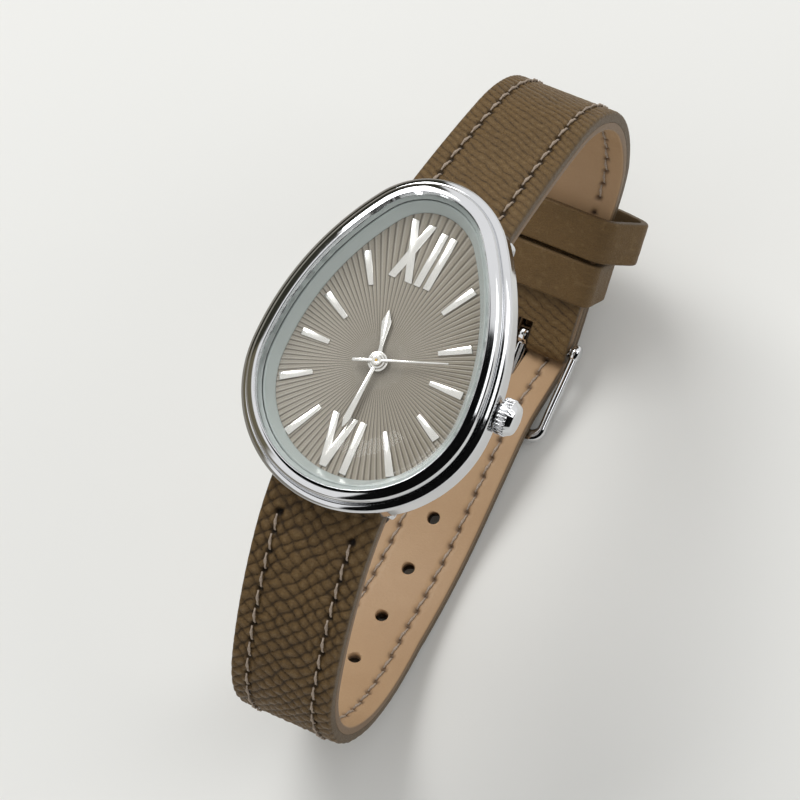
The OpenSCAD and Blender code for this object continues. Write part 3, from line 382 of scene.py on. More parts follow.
seal = plain("black_seal", shade(28, 28, 30), 0.55)
ring_grey = plain("grey_ring", shade(186, 193, 190), 0.22, 0.1, 0.6, 0.002)
holder_plastic = plain("movement_plastic", shade(226, 220, 204), 0.4)
board = plain("board_green", shade(38, 92, 62), 0.35, 0.35, 1.6)
wire = metal("copper_wire", shade(196, 112, 70), 0.2, 0.1, (1000, 1000, 1000), 4)
print("plain finishes made")

# %% [markdown]
# ## The carried-over works
# Wheels, coil, cell and the rest of the movement are closed in the case. Their measured solids stay
# as they are. Here each slot gets its finish; further on each solid takes the finish of the slot that
# the record gives to it.

# %% Finishes of the works
finishes = {"polished_steel": polished, "mirror_trim": trim, "clear_glass": glass,
            "black_seal": seal, "grey_ring": ring_grey, "brushed_back": brushed,
            "cell_can": cell_metal, "movement_plastic": holder_plastic, "brass_works": brass,
            "copper_wire": wire, "board_green": board}
print("finishes for slots:", len(finishes))

# %% [markdown]
# ## The egg outline
# The case, the glass and the dial share one outline: a big arc at 6 o'clock, a small arc at 12 and
# two long arcs between them, each tangent to the next. An inset only makes each radius smaller, so
# all rings have the same number of points and can be joined into one skin.

# %% Egg
EGG_Y, CASE_R, SIDE_R, TIP_Y, TIP_R, TIP_ANGLE = -2.35, 12.5, 30.0, 10.4051, 8.345, 36.087


ARC_STEPS = (130, 60, 56, 60)
spans = [(180, 360), (0, TIP_ANGLE), (TIP_ANGLE, 180 - TIP_ANGLE), (180 - TIP_ANGLE, 180)]
egg_angle = np.concatenate([np.radians(np.linspace(start, end, count, endpoint=False))
                            for (start, end), count in zip(spans, ARC_STEPS)])
arc_centres = [[0, EGG_Y], [CASE_R - SIDE_R, EGG_Y], [0, TIP_Y], [SIDE_R - CASE_R, EGG_Y]]
egg_centre = np.repeat(arc_centres, ARC_STEPS, axis=0)
egg_radius = np.repeat([CASE_R, SIDE_R, TIP_R, SIDE_R], ARC_STEPS)


def egg_rings(profile):
    """Grid of rings: each arc's centre plus (radius - inset) times its direction, at height z."""
    inset, z = np.asarray(profile, float).T
    ways = np.stack([np.cos(egg_angle), np.sin(egg_angle)], axis=1)
    flat = egg_centre[None] + (egg_radius[None, :, None] - inset[:, None, None]) * ways[None]
    return np.concatenate([flat, np.broadcast_to(z[:, None, None], flat.shape[:2] + (1,))], axis=2)


def egg_reach(angle, inset):
    """Distance from the hands to the egg, clockwise from 12, by the ring's own points."""
    ring = egg_rings([(inset, 0)])[0, :, :2]
    around = np.arctan2(ring[:, 0], ring[:, 1])
    order = np.argsort(around)
    return np.interp(angle, around[order], np.hypot(*ring[order].T), period=2 * math.pi)


print("egg is", np.ptp(egg_rings([(0, 0)])[0, :, 1]).round(2), "mm long")

# %% [markdown]
# ## Case
# The case is one polished piece: a rounded shoulder, an upright wall and an underside that curls in
# to the well for the works. Its section is carried round the egg. The well is round, so the last
# rings blend from the egg to a circle. Room for the strap's ends is then cut out, and four small
# lugs hold the spring bars.

# %% Case middle
WALL_FOOT, UNDER_Z, WELL_R, LUG_R = -2.0, -3.5, 9.8, 0.75
BAR_SIX, BAR_TWELVE = np.array([-12.35, -3.4]), np.array([15.0, -3.72])


def circle_rings(profile, radius):
    """Rings like the egg's, but round: each point keeps its direction from the hands."""
    ring = egg_rings([(0, 0)])[0, :, :2]
    way = ring / np.hypot(*ring.T)[:, None] * radius
    z = np.asarray(profile, float)
    flat = np.broadcast_to(way, (len(z),) + way.shape)
    return np.concatenate([flat, np.broadcast_to(z[:, None, None], flat.shape[:2] + (1,))], axis=2)


shoulder = curve_through([(0.8, 0.9), (0.68, 0.96), (0.5, 0.91), (0.3, 0.78), (0.12, 0.6),
                          (0.03, 0.44), (0.0, 0.25)])
wall = [(0, z) for z in np.linspace(0.2, WALL_FOOT + 0.15, 5)]
curl = curve_through([(0.0, WALL_FOOT), (0.12, -2.5), (0.45, -3.0), (0.95, -3.35), (1.5, UNDER_Z)])
shell = np.concatenate([
    egg_rings([(0.8, 0.27), (0.8, 0.6)]), egg_rings(shoulder), egg_rings(wall), egg_rings(curl),
    egg_rings([(1.6, UNDER_Z)]), circle_rings([UNDER_Z, UNDER_Z + 0.05, -1.5, -0.42], WELL_R),
    egg_rings([(2.6, -0.4), (2.42, -0.4), (2.4, 0.25)])])
case = skin("case_shell", shell, round_rows=True)


BOX_FACES = [[0, 1, 3, 2], [4, 6, 7, 5], [0, 4, 5, 1], [2, 3, 7, 6], [0, 2, 6, 4], [1, 5, 7, 3]]


def box_piece(name, low, high, placed=np.array):
    """A plain box, used only to cut with; placed carries its corners to the dial's frame."""
    x, y, z = np.array([low, high], float).T
    return join_mesh(name, placed([(a, b, c) for a in x for b in y for c in z]), BOX_FACES)


def cut(piece, cutter):
    """The piece less the cutter, worked out once and kept as a plain mesh."""
    step = piece.modifiers.new("cut", "BOOLEAN")
    step.operation, step.solver, step.object = "DIFFERENCE", "EXACT", cutter
    worked_out = piece.evaluated_get(bpy.context.evaluated_depsgraph_get())
    made = bpy.data.meshes.new_from_object(worked_out)
    piece.modifiers.clear()
    piece.data = made
    bpy.data.objects.remove(cutter)


ROOM_HALF, ROOM_IN, ROOM_OUT, ROOM_TOP = 6.15, 1.52, 6, 1.5
for bar, side in ((BAR_SIX, -1), (BAR_TWELVE, 1)):
    near, far = sorted((bar[0] - side * ROOM_IN, bar[0] + side * ROOM_OUT))
    low, high = (-ROOM_HALF, near, UNDER_Z - 2), (ROOM_HALF, far, bar[1] + ROOM_TOP)
    cut(case, box_piece("room", low, high))


def lug_outline(bar):
    """Side view of a lug: a half circle under the bar, with a foot that runs up into the case."""
    a = np.radians(np.linspace(180, 360, 25))
    round_end = bar + LUG_R * np.stack([np.cos(a), np.sin(a)], axis=1)
    foot = [(bar[0] + LUG_R, WALL_FOOT - 0.35), (bar[0] - LUG_R, WALL_FOOT - 0.35)]
    return np.vstack([round_end, foot])


LUG_LEVELS = [(6.1, 0.9), (6.15, 1.0), (6.5, 1.0), (6.6, 0.9), (6.64, 0.7)]
lugs = []
for bar in (BAR_SIX, BAR_TWELVE):
    outline = lug_outline(bar)
    middle = outline.mean(axis=0)
    for hand in (-1, 1):
        lugs.append(np.stack([
            np.column_stack([np.full(len(outline), hand * x), middle + k * (outline - middle)])
            for x, k in LUG_LEVELS]))
lug_piece = joined("case_lugs", lugs)
settle(case, "watch", "polished_steel", polished, "case_middle")
settle(lug_piece, "watch", "polished_steel", polished)
print("case faces:", len(case.data.polygons))

# %% [markdown]
# ## Bezel
# A polished ring holds the glass. From the glass outwards its section rises over a small lip, sweeps
# down in one long convex curve and ends in a thin groove over the case. Only a smooth curve gives
# clean reflections, so the section is drawn through a few points with a curve.

# %% Bezel
bezel_top = curve_through([(1.9, 2.02), (1.895, 2.26), (1.875, 2.36), (1.82, 2.395), (1.66, 2.37),
                           (1.43, 2.3), (1.2, 2.2), (1.03, 2.08), (0.9, 1.93), (0.84, 1.75),
                           (0.79, 1.4), (0.77, 1.0)])
bezel_foot = [(0.77, 0.3), (2.35, 0.3), (2.35, 1.15), (1.9, 1.15)]
bezel = skin("bezel_ring", egg_rings(np.vstack([bezel_top, bezel_foot])), round_rows=True)
settle(bezel, "watch", "polished_steel", polished, "bezel")
print("bezel faces:", len(bezel.data.polygons))

# %% [markdown]
# ## Glass
# The glass is a thin domed lid with a ground edge. Its rings run in from the egg to an almost
# complete point, which is closed by one small face.

# %% Crystal
lid = curve_through([(1.93, 1.95), (1.97, 2.07), (2.1, 2.115), (2.92, 2.142), (5.0, 2.19),
                     (7.9, 2.218)], 4)
crystal = skin("crystal_glass", egg_rings(np.vstack([[(7.9, 1.3), (1.95, 1.3)], lid])))
settle(crystal, "watch", "clear_glass", glass, "crystal")
print("glass rim is", round(bezel_top[:, 1].max() - 2.115, 3), "mm under the bezel's lip")

# %% [markdown]
# ## Sloped ring and dial
# Between glass and dial stands a sloped grey ring. The dial has a pressed pattern of rays: two sets
# of flutes, fine ones near the hands and wide ones outside them. They are real waves in the
# surface: the height falls at regular angles, more sharply where two flutes meet.

# %% Ring and dial
slope = skin("sloped_ring", egg_rings([
    (2.43, 1.12), (2.43, 0.02), (3.5, 0.01), (3.56, 0.04), (3.5, 0.12), (3.05, 0.62), (2.66, 1.06),
    (2.6, 1.12)]), round_rows=True)
settle(slope, "watch", "grey_ring", ring_grey, "dial_ring")

RAYS, RAY_STEPS, ZONE_R, HOLE_R, DIAL_INSET = 116, 10, 2.62, 0.86, 2.55


def dial_grid():
    """Polar grid out to the egg: a groove of Gauss shape along each ray, and a slope beside it."""
    angle = full_turn(RAYS * RAY_STEPS)
    edge = egg_reach(angle, DIAL_INSET)
    share = np.concatenate([[0], np.linspace(0, 1, 42) ** 0.9])
    radius = HOLE_R + share[:, None] * (edge - HOLE_R)[None]
    phase = (angle * RAYS / (2 * np.pi)) % 1
    shifted = (phase[None] + np.where(radius < ZONE_R, 0.5, 0.0)) % 1
    dip = np.exp(-((shifted - 0.5) / 0.115) ** 2)
    # A band beside each groove, where the dial's finish paints a highlight.
    painted_crest_highlight = np.exp(-((shifted - 0.76) / 0.12) ** 2)
    depth = 0.02 + 0.045 * np.clip((radius - ZONE_R) / 8, 0, 1)
    beside = np.where(radius > ZONE_R, 0.02, 0.0) * np.clip((shifted - 0.5) * 2, -1, 1)
    z = np.minimum(-depth * dip + beside * (1 - dip), 0.0)
    x, y = radius * np.sin(angle), radius * np.cos(angle)
    return np.stack([x, y, z], axis=-1), {"groove": dip, "painted_crest_highlight": painted_crest_highlight, "zone": radius < ZONE_R}


rays, ray_marks = dial_grid()
under = rays[[-1, 0]].copy()
under[..., 2] = -0.4
below = np.zeros(under.shape[:2])
dial = skin("ray_dial", np.concatenate([rays, under]), round_rows=True,
            marks={key: np.vstack([value, below]) for key, value in ray_marks.items()})

face = Finish("taupe_dial", Base_Color=shade(146, 138, 126), Roughness=0.42, Specular_IOR_Level=0.3)
cloud = face.noise(face.place(), 0.25, 2)
# Painted light: the dial's colour runs from lighter on the left to darker on the right, as light
# falling from the left would leave it.
across = face.node("ShaderNodeSeparateXYZ", "X", [("Vector", face.place((50, 50, 50)))])
tone = face.mix(face.sum(across, 0.5), shade(163, 156, 145), shade(139, 129, 113))
# The cloud and the inner zone are the dial's own tone. The crest beside each groove gets a painted
# highlight, and the groove itself gets painted shade.
for amount, share, colour in ((cloud, 0.4, shade(160, 152, 138)),
                              (face.mark("painted_crest_highlight"), 0.55, shade(184, 178, 168)),
                              (face.mark("zone"), 0.35, shade(164, 157, 146)),
                              (face.mark("groove"), 0.85, shade(78, 70, 60))):
    tone = face.mix(face.sum(amount, share, "MULTIPLY"), tone, colour)
face.feed("Base Color", tone)
face.feed("Roughness", face.ramp(cloud, (0.3, 0.36), (0.7, 0.46)))
face.bump(face.noise(face.place(), 9, 2), 0.003)
settle(dial, "watch", "taupe_dial", face.material, "dial")
finishes["taupe_dial"] = face.material
print("dial faces:", len(dial.data.polygons))

# %% [markdown]
# ## Hour markers and numerals
# Ten tapered batons and two Roman numerals are cut from bright plate and set on the dial. One helper
# makes such a plate: the outline goes straight up, steps in by a small bevel and is closed on top.

# %% Plates


def inset_outline(outline, step):
    """Mitred inset: each corner moves along the bisector by step over the cosine of half its turn."""
    normal = left_of(np.roll(outline, -1, axis=0) - outline)
    before = np.roll(normal, 1, axis=0)
    return outline + step * (normal + before) / (1 + np.sum(normal * before, axis=1))[:, None]


def plate(outline, low=-0.02, high=0.14, edge=0.05):
    """Rings of a bevelled plate, from its foot up its side and in over the bevel."""
    p = np.asarray(outline, float)
    if signed_area(p) < 0:
        p = p[::-1]
    levels = ((p, low), (p, high - edge), (inset_outline(p, edge), high))
    return np.stack([np.column_stack([ring, np.full(len(p), z)]) for ring, z in levels])


def turned(outline, clockwise):
    """The outline turned clockwise about the hands by an angle in degrees."""
    a = math.radians(clockwise)
    turn = np.array([[math.cos(a), -math.sin(a)], [math.sin(a), math.cos(a)]])
    return np.asarray(outline, float) @ turn


MARKERS = [(1, 0.52, 3.6), (2, 0.4, 3.1), (3, 0.25, 3.2), (4, 0.59, 2.75), (5, 0.03, 4.1),
           (7, 0.03, 3.95), (8, 0.24, 3.2), (9, 0.7, 2.85), (10, 0.7, 3.05), (11, 0.67, 3.4)]
RING_FOOT, INNER_HALF, OUTER_HALF = 3.55, 0.25, 0.4
batons = []
for hour, gap, length in MARKERS:
    end = float(egg_reach(math.radians(30 * hour), RING_FOOT)) - gap
    batons.append(plate(turned([(-INNER_HALF, end - length), (INNER_HALF, end - length),
                                (OUTER_HALF, end), (-OUTER_HALF, end)], 30 * hour)))
markers = joined("hour_batons", batons)
settle(markers, "watch", "mirror_trim", trim, "hour_markers")


def stroke(foot, head, low, high):
    """A slanted stroke between two heights, as four corners."""
    half = STROKE / 2
    return [(foot - half, low), (foot + half, low), (head + half, high), (head - half, high)]


def cross(low, high, width):
    """The X of the twelve as one outline: both strokes, with their crossings as corners."""
    left, right, middle, half = -2.35, -0.55, (low + high) / 2, width / 2
    waist = half * (high - low) / (right - left)
    centre = (left + right) / 2
    return [(left - half, low), (left + half, low), (centre, middle - waist), (right - half, low),
            (right + half, low), (centre + half, middle), (right + half, high), (right - half, high),
            (centre, middle + waist), (left + half, high), (left - half, high), (centre - half, middle)]


TWELVE_LOW, TWELVE_HIGH, SIX_LOW, SIX_HIGH, STROKE = 8.1, 14.0, -11.0, -5.9, 0.72
twelve = [plate(cross(TWELVE_LOW, TWELVE_HIGH, STROKE * 1.1)),
          plate(stroke(0.35, 0.85, TWELVE_LOW, TWELVE_HIGH - 0.32)),
          plate(stroke(1.35, 1.83, TWELVE_LOW, TWELVE_HIGH - 0.45))]
vee = [(-0.85 - STROKE / 2, SIX_LOW), (-0.85 + STROKE / 2, SIX_LOW), (0.25 + STROKE / 2, SIX_HIGH),
       (0.25 - STROKE / 2, SIX_HIGH), (-0.85, SIX_LOW + 1.9), (-1.75 + STROKE / 2, SIX_HIGH),
       (-1.75 - STROKE / 2, SIX_HIGH)]
six = [plate(vee), plate(stroke(1.2, 1.2, SIX_LOW, SIX_HIGH))]
settle(joined("twelve_plates", twelve), "watch", "mirror_trim", trim, "numeral_twelve")
settle(joined("six_plates", six), "watch", "mirror_trim", trim, "numeral_six")
print("markers:", len(batons), "numeral strokes:", len(twelve) + len(six))

# %% [markdown]
# ## Hands
# Three bright hands turn on the same axis, one above the other. Each is a thin bevelled plate with a
# round boss; the boss is a ring turned on a lathe: a small section carried round the axis.

# %% Hands


def boss(radius, bore, low, high):
    """Ring section: up the bore, over a soft crown and down the outside."""
    edge = 0.25 * (high - low)
    return [(bore, low), (bore, high - edge), (bore + edge, high), (radius - 2 * edge, high),
            (radius - edge * 0.5, high - edge * 0.4), (radius, high - edge * 1.2), (radius, low)]


def hand_outline(sides, clockwise):
    """Half widths at distances, mirrored to a closed outline and turned to its direction."""
    half, far = np.asarray(sides, float).T
    outline = np.vstack([np.column_stack([half, far]), np.column_stack([-half, far])[::-1]])
    return turned(outline, clockwise)


HAND_T = 0.13
HANDS = (  # piece, body, node, height, bevel, half widths, direction, boss (radius, bore, rise)
    ("hour_hand_lance", "hour_works", "hour_hand", 0.28, 0.05,
     [(0.24, 0.7), (0.2, 1.6), (0.5, 3.9), (0.06, 5.1)], 348, (1.0, 0.65, 0.05)),
    ("minute_hand_blade", "minute_works", "minute_hand", 0.54, 0.05,
     [(0.17, 0.5), (0.2, 1.4), (0.35, 6.2), (0.06, 7.1)], 184, (0.75, 0.46, 0.04)),
    ("seconds_hand_needle", "seconds_works", "seconds_hand", 0.8, 0.03,
     [(0.16, -2.4), (0.15, -0.4), (0.13, 0.4), (0.07, 7.0)], 71, (0.52, 0.12, 0.1)))
for name, body, node, low, bevel, sides, clockwise, (radius, bore, rise) in HANDS:
    blade = plate(hand_outline(sides, clockwise), low, low + HAND_T, bevel)
    hub = lathe(boss(radius, bore, low, low + HAND_T + rise))
    settle(joined(name, [blade], [hub]), body, "mirror_trim", trim, node)
    print(name, "lies at", low, "mm")

# %% [markdown]
# ## Crown
# The crown has 28 rounded ridges so that fingers can turn it, then a cone and a small flat end. Its
# radius is a function of two things: the place along the axis and the direction round it.

# %% Crown
RIDGES, RIDGE_H, STEM_Z = 28, 0.16, -1.9


def crown_grid():
    """Radius of the section less a groove depth that follows a squared-off cosine round the axis."""
    x, radius, grooved = np.array([
        (13.5, 0.47, 0), (13.55, 1.2, 0), (12.58, 1.22, 0), (12.55, 1.3, 0), (12.55, 1.6, 0.4),
        (12.62, 1.82, 0.9), (12.72, 1.85, 1), (13.42, 1.85, 1), (13.54, 1.84, 0.9), (13.62, 1.79, 0.35),
        (13.68, 1.74, 0), (14.14, 1.47, 0), (14.22, 1.4, 0), (14.27, 1.25, 0), (14.3, 1.05, 0),
        (14.3, 0.4, 0)]).T[..., None]
    a = full_turn(RIDGES * 12)
    wave = np.clip(0.5 + 0.9 * np.cos(RIDGES * a), 0, 1)
    r = radius - RIDGE_H * grooved * (1 - wave)[None]
    return np.stack([np.broadcast_to(x, r.shape), r * np.cos(a), STEM_Z + r * np.sin(a)], axis=-1)


crown = skin("ridged_crown", crown_grid())
settle(crown, "winding_crown", "polished_steel", polished, "crown")
print("crown has", RIDGES, "ridges and", len(crown.data.polygons), "faces")

# %% [markdown]
# ## Back of the case
# The back is a turned steel lid. Nothing is written on it: a shallow ring groove and lathe marks are
# its only detail.

# %% Back
lid_section = [(0.4, -4.4), (7.4, -4.4), (7.5, -4.34), (7.7, -4.34), (7.8, -4.4), (10.0, -4.4),
               (10.3, -4.28), (10.52, -4.0), (10.6, -3.85), (10.6, -3.62), (10.55, -3.6),
               (9.75, -3.6), (9.75, -3.37), (9.2, -3.37), (9.2, -3.58), (0.4, -3.58)]
back_lid = skin("back_lid", lathe(lid_section, 160))
turned_steel = Finish("turned_back", Base_Color=shade(196, 197, 199), Metallic=1.0, Roughness=0.3)
rings = turned_steel.node("ShaderNodeTexWave", "Fac", [("Vector", turned_steel.place())],
                          wave_type="RINGS", rings_direction="Z", Scale=1.6, Distortion=0.6, Detail=3)
turned_steel.feed("Roughness", turned_steel.ramp(rings, (0.0, 0.2), (1.0, 0.38)))
cloud = turned_steel.noise(turned_steel.place(), 0.3)
turned_steel.feed("Base Color", turned_steel.mix(cloud, shade(186, 187, 190), shade(206, 206, 207)))
turned_steel.bump(rings, 0.006)
settle(back_lid, "watch", "brushed_back", turned_steel.material, "case_back")
print("back is", 2 * max(radius for radius, z in lid_section), "mm across")

# %% [markdown]
# ## The way of the strap
# Each half of the strap follows a path across the case: straight runs and arcs, one after another.
# The long half leaves the case at 6 o'clock, folds under, crosses the back and passes over the
# buckle's bar. The short half leaves at 12 o'clock and ends in a fold round the bar.

# %% Paths


def walk(start, heading, runs, step=0.15):
    """Points [y, z, heading] along runs (length, turn in degrees), a small step apart."""
    place, way, out = np.asarray(start, float), math.radians(heading), []
    for length, bend in runs:
        k = np.linspace(0, 1, max(2, int(round(length / step)) + 1))
        bend = math.radians(bend)
        head = way + bend * k
        if abs(bend) < 1e-9:
            spots = place + length * k[:, None] * [math.cos(way), math.sin(way)]
        else:
            arc = np.stack([np.sin(head) - math.sin(way), math.cos(way) - np.cos(head)], axis=1)
            spots = place + length / bend * arc
        out.append(np.column_stack([spots, head])[:-1])
        place, way = spots[-1], way + bend
    out.append(np.array([[*place, way]]))
    return np.vstack(out)


class Route:
    """A path with its running length; side is +1 where the loop's inside lies to the left."""

    def __init__(self, start, heading, runs, side):
        self.path = walk(start, heading, runs)
        self.side = side
        self.s = np.concatenate([[0], np.cumsum(np.hypot(*np.diff(self.path[:, :2], axis=0).T))])
        self.length = self.s[-1]

    def at(self, s):
        """Place [y, z], inward direction and onward direction at the lengths s."""
        y, z, h = (np.interp(s, self.s, column) for column in self.path.T)
        inward = np.stack([-np.sin(h), np.cos(h)], axis=-1) * self.side
        return np.stack([y, z], axis=-1), inward, np.stack([np.cos(h), np.sin(h)], axis=-1)

    def points(self, s, x, inset):
        """Points at length s, x across the strap and inset from its outer face."""
        spot, inward, _ = self.at(s)
        flat = spot + np.asarray(inset)[..., None] * inward
        return np.concatenate([np.broadcast_to(x, flat.shape[:-1])[..., None], flat], axis=-1)


LOOP_R, LEATHER_T, STRAP_T, FOLD_R, OVER_R = 1.4, 1.15, 2.0, 1.45, 3.5
BACK_RUN, DIP_RUN, BEND_R, TAIL = 11.4292, 9.08104, 10.0, 14.0
bend_t = BEND_R * math.tan(math.radians(13))
a = math.radians(184)
long_half = Route(BAR_SIX + LOOP_R * np.array([math.sin(a), -math.cos(a)]), 184,
                  [(1.8, 8), (6, 17), (14, 18), (15, 64), (13, 38), (19, 29), (BACK_RUN - bend_t, 0),
                   (BEND_R * math.radians(26), -26), (DIP_RUN - bend_t, 0),
                   (OVER_R * math.radians(53), 53), (TAIL, 0)], 1)
a = math.radians(-31)
short_half = Route(BAR_TWELVE + LOOP_R * np.array([-math.sin(a), math.cos(a)]), -31,
                   [(0.93, 0), (16, -8), (24, -84), (8, -32), (14, 0)], -1)
BAR = np.array([13.7805, -43.5897])
SLOPE = math.radians(25)


def long_width(s):
    """Half width: 6 at the case, 5.6 where it turns under, 5 round the back, pointed at the tail."""
    (y, z), tail = np.moveaxis(long_half.at(s)[0], -1, 0), long_half.length - s
    half = np.where(z > -22.5, np.interp(y, [-32, -12], [5.6, 6]), np.interp(y, [-32, -22], [5.6, 5]))
    return np.minimum(half, 0.8 + 5.2 * np.clip(tail, 0, None) / 4.6)


def short_width(s):
    """Half width: 6 at the case, 5.65 at the fold and 5.25 at the buckle."""
    y, z = np.moveaxis(short_half.at(s)[0], -1, 0)
    return np.where(z > -25, np.interp(y, [14, 33], [6, 5.65]), np.interp(y, [28, 33], [5.25, 5.65]))


print("long half", long_half.length.round(2), "mm, short half", short_half.length.round(2), "mm")

# %% [markdown]
# ## Leather
# The leather is pressed with a cross grain: two sets of slanting grooves leave small raised cells.
# The grooves are in the mesh, and finer pores are left to the material. The height also goes with
# the mesh as a mark, so that the material can paint shade into the grooves and a highlight on the
# cell tops.

# %% Leather grain


def cross_grain(s, x, tilt_one, tilt_two, share, pitch=1.0):
    """Cells 0 to 1: the product of two rows of humps, |sin| of the length across each row."""
    wob = (rough_noise(s, x, 2.6, 3) - 0.5) * 0.55 + (rough_noise(s, x, 0.7, 5) - 0.5) * 0.3
    a, b = math.radians(tilt_one), math.radians(tilt_two)
    one = np.abs(np.sin(np.pi * ((s * math.cos(a) + x * math.sin(a)) / pitch + wob)))
    two = np.abs(np.sin(np.pi * ((s * math.cos(b) + x * math.sin(b)) / (1.08 * pitch) - wob * 0.8)))
    weak = np.clip(share * (0.55 + 0.9 * rough_noise(s, x, 4.5, 9)), 0, 1)
    fine = 0.16 * (rough_noise(s, x, 0.33, 11) - 0.5) + 0.14 * (rough_noise(s, x, 1.1, 13) - 0.5)
    return np.clip(one ** 0.55 * (1 - weak * (1 - two ** 0.55)) + fine, 0, 1)


def section(edge_out, edge_in, depth_out, depth_in, across=84):
    """Closed section as x = a * half + b at an inset: hidden face, edge, seen face, edge."""
    k = np.linspace(0, 1, 7)[1:]
    q = np.linspace(0, np.pi / 2, 7)
    step = 1 if depth_out < depth_in else -1
    hidden = [(v, -v * edge_in, depth_in, 0.0) for v in k[:-1]]
    low = [(1.0, -edge_in + edge_in * math.sin(t), depth_in - step * edge_in * (1 - math.cos(t)), 0.0)
           for t in q]
    high = [(1.0, -edge_out + edge_out * math.cos(t), depth_out + step * edge_out * (1 - math.sin(t)),
             t / (np.pi / 2)) for t in q]
    seen = [(v, -v * edge_out, depth_out, 1.0) for v in np.linspace(1, -1, across)[1:-1]]
    right_side = hidden + low + high
    left_side = [(-a, -b, d, m) for a, b, d, m in right_side[::-1]]
    return np.array([(0.0, 0.0, depth_in, 0.0)] + right_side + seen + left_side)


ROW_IN, PITCH = 1.95, 2.1


def stitch_places(length_from, length_to):
    return length_from + PITCH * np.arange(int((length_to - length_from) / PITCH) + 1)


def layer(name, route, width, lengths, shape, grain=None, depth=0.0, rows=None):
    """A strap layer: the section carried along the route, its seen face pushed in by the grain,
    by a lane along the seam and by the needle pits in it."""
    half = width(lengths)[:, None]
    a, b, inset, seen = (column[None] for column in shape.T)
    x, s = a * half + b, np.broadcast_to(lengths[:, None], (len(lengths), shape.shape[0]))
    step = 1 if shape[:, 2].min() == shape[np.argmax(shape[:, 3]), 2] else -1
    height = grain(s, x) if grain else np.ones_like(x)
    push = depth * (1 - height)
    pit = np.zeros_like(x)
    if rows is not None:
        off, from_first = np.abs(x) - (half - ROW_IN), s - rows[0]
        sewn = (s > rows[0] - 0.6) & (s < rows[-1] + 0.6)
        lane = np.exp(-(off / 0.3) ** 2) * sewn
        near = np.abs((from_first + PITCH / 2) % PITCH - PITCH / 2)
        pit = np.exp(-((off ** 2 + near ** 2) / 0.11) ** 1.5) * sewn
        # The first needle hole is larger. Each pit is pushed into the leather and, through the pit
        # mark, painted dark as shade.
        first_pit = np.exp(-(((off ** 2 + from_first ** 2) / 0.2) ** 2))
        pit = np.maximum(pit, first_pit)
        push = push + 0.1 * lane + 0.34 * pit
    points = route.points(s, x, inset + step * push * seen)
    uv = np.stack([x, s], axis=-1)
    # The cell mark also lets the leather finish paint shade into the grain's low parts and a highlight
    # on its tops.
    return skin(name, points, uv=uv, marks={"cell": height, "pit": pit, "rim": 1 - seen + 0 * x})


def hide(name, top, pore_tone_and_groove_shade, edge):
    """Leather: painted shade in the grooves and needle pits, a painted highlight on the cell tops, bare
    edges dull, fine pores from noise.
    """
    made = Finish(name, Base_Color=top, Roughness=0.5, Specular_IOR_Level=0.3)
    skin_place = made.place()
    cloud = made.noise(skin_place, 0.3, 4)
    pores = made.noise(skin_place, 6, 4, 0.65)
    light, dark = ((*(k * c for c in top[:3]), 1.0) for k in (1.18, 0.84))
    tone = made.mix(cloud, light, dark)
    # Painted shade in the grain's low parts and a painted highlight on the cell tops; the pores and the
    # bare edge take the leather's own tones.
    for amount, low, high, colour in (
            (made.mark("cell"), (0.1, 0.8), (0.6, 0.0), pore_tone_and_groove_shade),
            (made.mark("cell"), (0.85, 0.0), (1.0, 0.35), shade(140, 116, 78)),
            (pores, (0.35, 0.0), (0.8, 0.45), pore_tone_and_groove_shade),
            (made.mark("rim"), (0.35, 0.0), (0.9, 0.85), edge)):
        tone = made.mix(made.ramp(amount, low, high), tone, colour)
    # Painted shade: the needle pits are darkened almost to black.
    made.feed("Base Color", made.mix(made.mark("pit"), tone, shade(22, 15, 12)))
    made.feed("Roughness", made.ramp(pores, (0.3, 0.36), (0.75, 0.6)))
    made.bump(pores, 0.12)
    return made.material


# Colours: the base tone, a dark tone for the pores that also serves as painted groove shade, and the
# edge colour.
leather = hide("strap_grain", shade(107, 83, 48), shade(43, 30, 14), shade(88, 71, 48))
finishes["strap_grain"] = leather
print("stitch pitch", PITCH, "mm")

# %% [markdown]
# ## The two halves of the strap
# Each half has an outer leather and a lining. Both are layers of the same route, so they meet all
# along. The long half's holes and the slot for the tongue go through both: round bars are carried
# square through the strap and cut out of the finished meshes.

# %% Strap layers
LONG_S, SHORT_S = (np.append(np.arange(0.7, half.length, 0.16), half.length)
                   for half in (long_half, short_half))
long_rows = stitch_places(4.35, long_half.length - 4.2)
short_rows = stitch_places(1.2, short_half.length - 1.6)
outer_section = section(0.42, 0.08, 0.0, LEATHER_T)
lining_section = section(0.22, 0.05, STRAP_T, LEATHER_T, 44)


def long_grain(s, x):
    return cross_grain(s, x, 47, -40, 0.9, 1.12)


def short_grain(s, x):
    return cross_grain(s, x, 22, -50, 0.3, 0.85)


long_outer = layer("long_leather", long_half, long_width, LONG_S, outer_section, long_grain, 0.3,
                   long_rows)
short_outer = layer("short_leather", short_half, short_width, SHORT_S, outer_section, short_grain,
                    0.12, short_rows)
long_lining = layer("long_lining", long_half, long_width, LONG_S[::2], lining_section,
                    rows=long_rows)
short_lining = layer("short_lining", short_half, short_width, SHORT_S[::2], lining_section,
                     rows=short_rows)


def punch(route, s, length, width):
    """A bar square to the strap: a circle, or two half circles a length apart, carried through it."""
    a = full_turn(28)
    along = width / 2 * np.cos(a) + np.sign(np.cos(a)) * max(length - width, 0) / 2
    spot, inward, onward = route.at(np.array([s]))
    flat = spot + along[:, None] * onward
    return np.stack([np.column_stack([width / 2 * np.sin(a), flat + depth * inward])
                     for depth in (-1.2, 3.2)])


